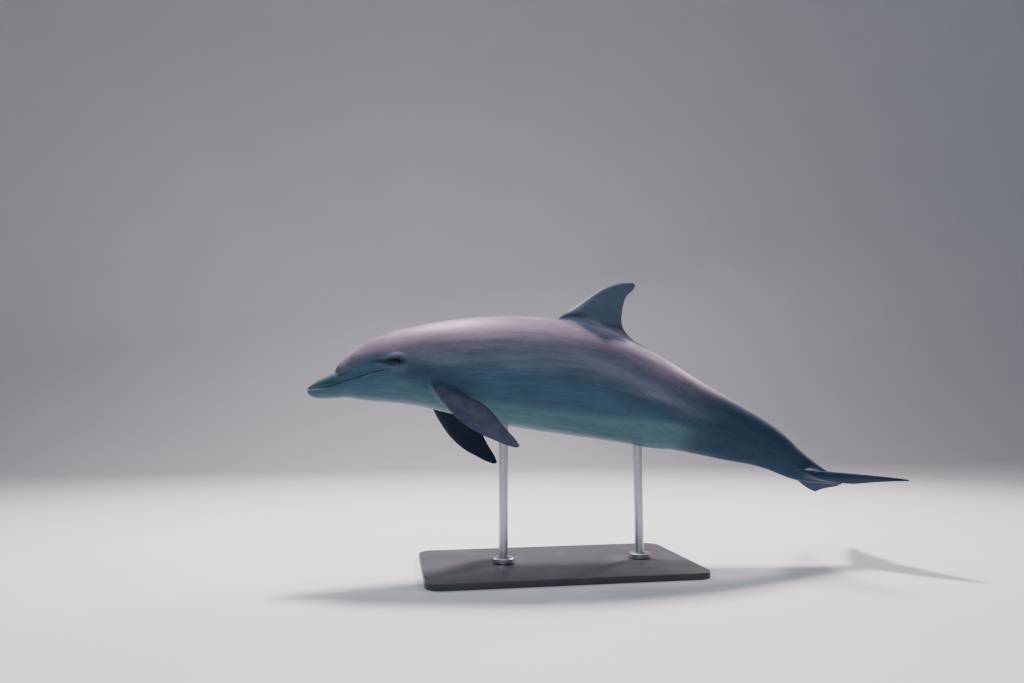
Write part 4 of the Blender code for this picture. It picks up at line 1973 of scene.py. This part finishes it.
@dataclass(frozen=True)
class SkinFinish:
    """Smooth skin: a mauve-slate cape, streaked flanks, a pale throat and belly, dark limbs."""

    fin: Edge = Edge(0.0, 0.06)
    fluke: Edge = Edge(0.0, 0.04)
    flipper: Edge = Edge(0.0, 0.03)
    limb_plain: float = 0.75
    streak_value: float = 0.72
    thread_value: float = 0.62
    mottle_value: float = 0.36
    fine_value: float = 0.14
    ripple: Triple = (120.0, 34.0, 34.0)
    heights: Triple = (0.55, 0.25, 0.20)
    depth: float = 0.0016
    bump: float = 0.55
    roughness: float = 0.46
    rough_mottle: float = 0.22
    rough_streak: float = 0.14
    rough_dull: float = 0.42
    sheen: float = 0.09

    def material(self) -> bpy.types.Material:
        """The skin's material, whose patterns follow the body's own lie.

        Returns:
            The material.
        """
        tree = Tree("dolphin_skin", HUES.flank)
        at = Lie(tree)
        Flanks().paint(tree, at)
        Head().paint(tree, at)
        Limbs().paint(tree, at)
        # Painted shadow of the dorsal fin round its foot, and painted shade on the ridge behind it,
        # on both sides.
        fin_shadow = FinShadow().share(at)
        tree.paint(fin_shadow, HUES.dark)
        Marks().paint(tree, at)
        self.shade(tree, at)
        ripple = tree.noise(tree.scaled(at.vector, self.ripple), detail=2.0, rough=0.5)
        mottle, wave, fine = self.heights
        tree.relief(at.mottle * mottle + ripple * wave + at.fine * fine, self.depth, self.bump)
        dull = self.fluke.on(at.fluke).greater(fin_shadow)
        rough = self.roughness + at.mottle.sway(self.rough_mottle)
        rough = rough + at.streak.sway(self.rough_streak) + dull * self.rough_dull
        return tree.finish(rough, specular_ior_level=self.sheen)

    def shade(self, tree: Tree, at: Lie) -> None:
        """Lighten and darken the colour along the streaks, less so on the limbs.

        Args:
            tree: The material.
            at: What the markings follow.
        """
        limb = self.fin.on(at.fin).greater(self.fluke.on(at.fluke))
        limb = limb.greater(self.flipper.on(at.flipper))
        lines = at.streak.sway(self.streak_value) + at.thread.sway(self.thread_value)
        value = at.mottle.sway(self.mottle_value) + lines * (1.0 - limb * self.limb_plain) + 1.0
        value = value + at.fine.sway(self.fine_value)
        tree.coat = tree.node("HueSaturation", {}, {"Color": tree.coat, "Value": value}).outputs[0]


# ---- the other finishes
@dataclass(frozen=True)
class EyeFinish:
    """A dark, wet eye: brown iris, and a black pupil drawn out sideways."""

    iris: Colour = tone(18, 15, 16)
    pupil: Colour = tone(10, 9, 10)
    white: Colour = tone(28, 25, 28)
    stretch: float = 0.72
    white_edge: Edge = Edge(0.0078, 0.0098)
    pupil_edge: Edge = Edge(0.0050, 0.0042)
    fibres: float = 900.0
    fibre_strength: float = 0.8
    roughness: float = 0.14

    def material(self) -> bpy.types.Material:
        """Rings of colour round the middle of the ball, read from its own attribute.

        Returns:
            The material.
        """
        tree = Tree("eyeball", self.iris)
        _, aft, up, _ = tree.parts("gaze")
        oval = apart(aft * self.stretch, up)
        tree.paint(self.white_edge.on(oval), self.white)
        fibre = tree.noise(tree.here(), self.fibres, detail=2.0)
        tree.paint(fibre.sway(self.fibre_strength), self.pupil)
        tree.paint(self.pupil_edge.on(oval), self.pupil)
        return tree.finish(self.roughness, specular_ior_level=0.2, coat_weight=0.15,
                           coat_roughness=0.05)


@dataclass(frozen=True)
class PaintFinish:
    """Satin paint on board: a faint orange peel, and a little dust."""

    colour: Colour = tone(58, 60, 64)
    dust: Colour = tone(96, 97, 100)
    dusty: Edge = Edge(0.50, 0.78)
    dust_strength: float = 0.35
    peel: float = 420.0
    roughness: float = 0.42
    rough_sway: float = 0.20

    def material(self) -> bpy.types.Material:
        """Near-black paint whose roughness and colour wander slightly.

        Returns:
            The material.
        """
        tree = Tree("base_paint", self.colour)
        peel = tree.noise(tree.here(), self.peel, detail=2.0)
        cloud = tree.noise(tree.here(), 6.0, detail=4.0, rough=0.6)
        tree.paint(self.dusty.on(cloud) * self.dust_strength, self.dust)
        tree.relief(peel, distance=0.0002, strength=0.35)
        return tree.finish(self.roughness + cloud.sway(self.rough_sway))


@dataclass(frozen=True)
class SteelFinish:
    """Brushed steel: fine rings round the rods."""

    bright: Colour = tone(190, 192, 196)
    dull: Colour = tone(150, 152, 158)
    squeeze: Triple = (8.0, 8.0, 1400.0)
    roughness: float = 0.26
    rough_more: float = 0.14

    def material(self) -> bpy.types.Material:
        """Thin level rings from noise that is squeezed flat.

        Returns:
            The material.
        """
        tree = Tree("brushed_steel", self.dull)
        rings = tree.noise(tree.scaled(tree.here(), self.squeeze))
        tree.paint(rings, self.bright)
        tree.relief(rings, distance=0.00012, strength=0.4)
        return tree.finish(self.roughness + rings * self.rough_more, metallic=1.0)


# ---- eyes and stand
@dataclass(frozen=True)
class Eye:
    """An eyeball with a slightly raised cornea."""

    relief: EyeRelief
    pose: Pose
    cornea: float = 0.0007
    cornea_width: float = 0.42
    rows: int = 42
    sides: int = 72

    def build(self, side: Side, material: bpy.types.Material) -> bpy.types.Object:
        """A ball whose radius grows by the cornea's height times a bell about its gaze.

        Args:
            side: Which eye.
            material: Its finish.

        Returns:
            The eye, which replaces its plain solid.
        """
        fall = np.linspace(0, math.pi, self.rows)[1:-1, None]
        turn = np.linspace(0, 2 * math.pi, self.sides, endpoint=False)[None, :]
        radius = self.relief.ball + self.cornea * bell(fall, self.cornea_width)
        ball = np.stack([radius * np.sin(fall) * np.cos(turn), -side.value * radius * np.cos(fall)
                         * np.ones_like(turn), radius * np.sin(fall) * np.sin(turn)], -1)
        centre = np.array(self.relief.centre) * (1, -side.value, 1)
        poles = centre + np.array([(0, -side.value * (self.relief.ball + self.cornea), 0),
                                   (0, side.value * self.relief.ball, 0)])
        rings = ball + centre
        name = f"eyeball_{side.name.lower()}"
        mesh = closed_loft(name, self.pose.to_frame(rings), *self.pose.to_frame(poles))
        store(mesh, "gaze", np.concatenate([ball.reshape(-1, 3), poles - centre])[:, (0, 2, 1)])
        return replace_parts(show(name, mesh, material), f"eye_{side.name.lower()}")


@dataclass(frozen=True)
class Stand:
    """A flat base with eased edges, and two turned collars and rods that reach the belly."""

    ease_edge: float = 0.004
    edge_steps: int = 7
    bevel: float = 0.0015
    corner: float = 0.06
    corner_steps: int = 16
    chamfer: float = 0.003
    groove: float = 0.0015
    groove_levels: tuple[float, ...] = (0.40, 0.43, 0.50, 0.53)
    rod_bevel: float = 0.001
    base_crease: float = math.radians(35)
    turned_crease: float = math.radians(28)

    def base(self, material: bpy.types.Material) -> bpy.types.Object:
        """A plate whose outline is a rectangle with round corners, eased at top and bottom.

        Args:
            material: Its finish.

        Returns:
            The base, which replaces its plain solid.
        """
        low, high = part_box("stand_base")
        half = np.array([(high.x - low.x) / 2, (high.y - low.y) / 2])
        turn = np.linspace(0, math.pi / 2, self.corner_steps)
        quarter = np.concatenate([turn + k * math.pi / 2 for k in range(4)])
        sign = np.repeat(np.array([(1, 1), (-1, 1), (-1, -1), (1, -1)]), self.corner_steps, 0)
        edge = np.linspace(0, math.pi / 2, self.edge_steps)
        inset = np.concatenate([[self.bevel, 0.0], self.ease_edge * (1 - np.cos(edge))])
        level = np.concatenate([[low.z, low.z + self.bevel],
                                high.z - self.ease_edge * (1 - np.sin(edge))])
        rings = []
        for inward, z in zip(inset, level):
            xy = sign * (half - self.corner)
            xy = xy + (self.corner - inward) * np.stack([np.cos(quarter), np.sin(quarter)], -1)
            rings.append(np.concatenate([xy, np.full((len(xy), 1), z)], 1))
        rings = np.array(rings)
        mesh = closed_loft("display_base", rings, rings[0].mean(0), rings[-1].mean(0))
        mesh.set_sharp_from_angle(angle=self.base_crease)
        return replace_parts(show("display_base", mesh, material), "stand_base")

    def collar(self, place: str, material: bpy.types.Material) -> bpy.types.Object:
        """A turned ring with chamfered rims and a groove.

        Args:
            place: "front" or "rear".
            material: Its finish.

        Returns:
            The collar, which replaces its plain solid.
        """
        low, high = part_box(f"stand_collar_{place}")
        radius, tall, c = (high.x - low.x) / 2, high.z - low.z, self.chamfer
        inner = radius - self.groove
        groove = [(across, tall * level) for across, level in
                  zip((radius, inner, inner, radius), self.groove_levels)]
        profile = ((radius - c, 0), (radius, c), *groove, (radius, tall - c), (radius - c, tall))
        mesh = turned(f"collar_{place}", profile, (low + high) / 2 - Vector((0, 0, tall / 2)))
        mesh.set_sharp_from_angle(angle=self.turned_crease)
        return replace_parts(show(f"collar_{place}", mesh, material), f"stand_collar_{place}")

    def rod(self, place: str, material: bpy.types.Material) -> bpy.types.Object:
        """A round rod that runs a little way into the belly.

        Args:
            place: "front" or "rear".
            material: Its finish.

        Returns:
            The rod, which replaces its plain solid.
        """
        low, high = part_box(f"stand_rod_{place}")
        radius, tall, bevel = (high.x - low.x) / 2, high.z - low.z, self.rod_bevel
        profile = ((radius - bevel, 0), (radius, bevel), (radius, tall / 3), (radius, tall * 2 / 3),
                   (radius, tall - bevel), (radius - bevel, tall))
        foot = Vector(((low.x + high.x) / 2, (low.y + high.y) / 2, low.z))
        mesh = turned(f"rod_{place}", profile, foot)
        mesh.set_sharp_from_angle(angle=self.turned_crease)
        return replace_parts(show(f"rod_{place}", mesh, material), f"stand_rod_{place}")

    def build(self) -> list[tuple[bpy.types.Object, str]]:
        """All pieces of the stand, each with the name of a slot, which is logged with it.

        Returns:
            Pairs of a piece and its slot.
        """
        paint, steel = PaintFinish().material(), SteelFinish().material()
        pieces = [(self.base(paint), "base_paint")]
        for place in ("front", "rear"):
            pieces.append((self.collar(place, steel), "rod_steel"))
            pieces.append((self.rod(place, steel), "rod_steel"))
        return pieces


# ---- studio
@dataclass(frozen=True)
class Lamp:
    """A square soft light."""

    name: str
    place: Triple
    target: Triple
    size: float
    power: float
    colour: Colour = (1.0, 1.0, 1.0)

    def build(self) -> None:
        """Hang the light and turn it to its target."""
        data = bpy.data.lights.new(self.name, "AREA")
        data.shape = "SQUARE"
        data.size = self.size
        data.energy = self.power
        data.color = self.colour
        lamp = bpy.data.objects.new(self.name, data)
        bpy.context.scene.collection.objects.link(lamp)
        lamp.location = self.place
        aim = Vector(self.target) - Vector(self.place)
        lamp.rotation_euler = aim.to_track_quat("-Z", "Y").to_euler()


@dataclass(frozen=True)
class Studio:
    """A pale floor that curves up behind, soft lights, a pale sky and the camera."""

    floor: Colour = tone(214, 216, 218)
    floor_cloud: Colour = tone(206, 208, 211)
    sky: Colour = tone(206, 212, 222)
    sky_strength: float = 0.36
    lens: float = 24.01
    sensor: float = 36.0
    from_snout: Triple = (0.32944, -2.81443, -0.09186)
    pitch: float = math.radians(6)
    turned: float = math.radians(10)
    lamps: tuple[Lamp, ...] = (
        Lamp("key", (-0.7, 1.50, 4.4), (0.0, 0.0, 0.9), 0.6, 560.0, (1.0, 0.82, 0.86)),
        Lamp("rear key", (2.9, 1.9, 3.0), (0.7, 0.0, 0.7), 0.7, 150.0, (1.0, 0.82, 0.88)),
        Lamp("front key", (-2.6, 2.2, 2.9), (-0.8, 0.0, 0.8), 0.7, 45.0, (0.92, 0.88, 1.0)),
        Lamp("top", (0.2, -0.4, 4.8), (0.1, 0.0, 0.7), 2.6, 52.0, (0.90, 0.95, 1.0)),
        Lamp("fill", (-1.8, -4.2, 2.2), (0.1, 0.0, 0.7), 3.0, 42.0, (0.84, 0.94, 1.0)),
    )

    def backdrop(self) -> bpy.types.Object:
        """A sheet carried sideways: level floor, a quarter circle, then a level-backed wall.

        Returns:
            The sheet, with its finish.
        """
        near, deep, tall, radius, wide = -9.0, 5.0, 14.0, 1.8, 24.0
        bend = np.linspace(0, math.pi / 2, 24)
        y = np.concatenate([[near], deep + radius * np.sin(bend), [deep + radius]])
        z = np.concatenate([[0.0], radius * (1 - np.cos(bend)), [tall]])
        across = np.array([-wide, wide])
        grid = np.stack(np.broadcast_arrays(across[None, :], y[:, None], z[:, None]), -1)
        low = np.arange(len(y) - 1) * 2
        faces = np.stack([low, low + 1, low + 3, low + 2], -1)
        mesh = bpy.data.meshes.new("studio_floor")
        mesh.from_pydata(grid.reshape(-1, 3).tolist(), [], faces.tolist())
        mesh.shade_smooth()
        tree = Tree("studio_floor", self.floor)
        tree.paint(tree.noise(tree.here(), 1.3, detail=2.0), self.floor_cloud)
        return show("studio_floor", mesh, tree.finish(0.85, specular_ior_level=0.1))

    def camera(self, snout: Triple) -> None:
        """The camera below and before the animal's left side, level and turned slightly aft.

        Args:
            snout: The beak's tip in the frame.
        """
        data = bpy.data.cameras.new("camera")
        data.sensor_width, data.lens = self.sensor, self.lens
        data.clip_end = 60.0
        camera = bpy.data.objects.new("camera", data)
        bpy.context.scene.collection.objects.link(camera)
        camera.location = Vector(snout) + Vector(self.from_snout)
        camera.rotation_euler = (math.pi / 2 + self.pitch, 0, -self.turned)
        bpy.context.scene.camera = camera

    def build(self, snout: Triple) -> None:
        """Floor, sky, lights and camera.

        Args:
            snout: The beak's tip in the frame.
        """
        self.backdrop()
        world = bpy.data.worlds.new("sky")
        world.use_nodes = True
        background = world.node_tree.nodes["Background"]
        background.inputs["Color"].default_value = (*self.sky, 1)
        background.inputs["Strength"].default_value = self.sky_strength
        bpy.context.scene.world = world
        for lamp in self.lamps:
            lamp.build()
        self.camera(snout)


# ---- assembly
FLESH = ("upper_beak", "lower_jaw", "head", "thorax", "abdomen", "tail_stock", "dorsal_fin",
         "flipper_left", "flipper_right", "fluke_left", "fluke_right")


def keep(piece: bpy.types.Object, slot: str) -> None:
    """Ride a piece on the body and log it with its slot.

    Args:
        piece: The piece.
        slot: The name of its slot, which is logged.
    """
    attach(piece, BODY)
    LOG.info("%s: %d vertices, slot %s", piece.name, len(piece.data.vertices), slot)


def main() -> None:
    """Load the frame, build the animal, its eyes and the stand, and light them."""
    logging.basicConfig(level=logging.INFO, format="%(name)s: %(message)s")
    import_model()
    pose = Pose()
    body = Body(TRUNK, BEAK, AXIS, MouthLine())
    skin = Skin(pose, body)
    whole = skin.build()
    whole.data.materials.clear()
    whole.data.materials.append(SkinFinish().material())
    keep(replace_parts(whole, *FLESH), "slate_skin")
    glass = EyeFinish().material()
    for side in Side:
        keep(Eye(skin.eye, pose).build(side, glass), "eye")
    for piece, slot in Stand().build():
        keep(piece, slot)
    Studio().build(pose.snout)


if __name__ == "__main__":
    main()
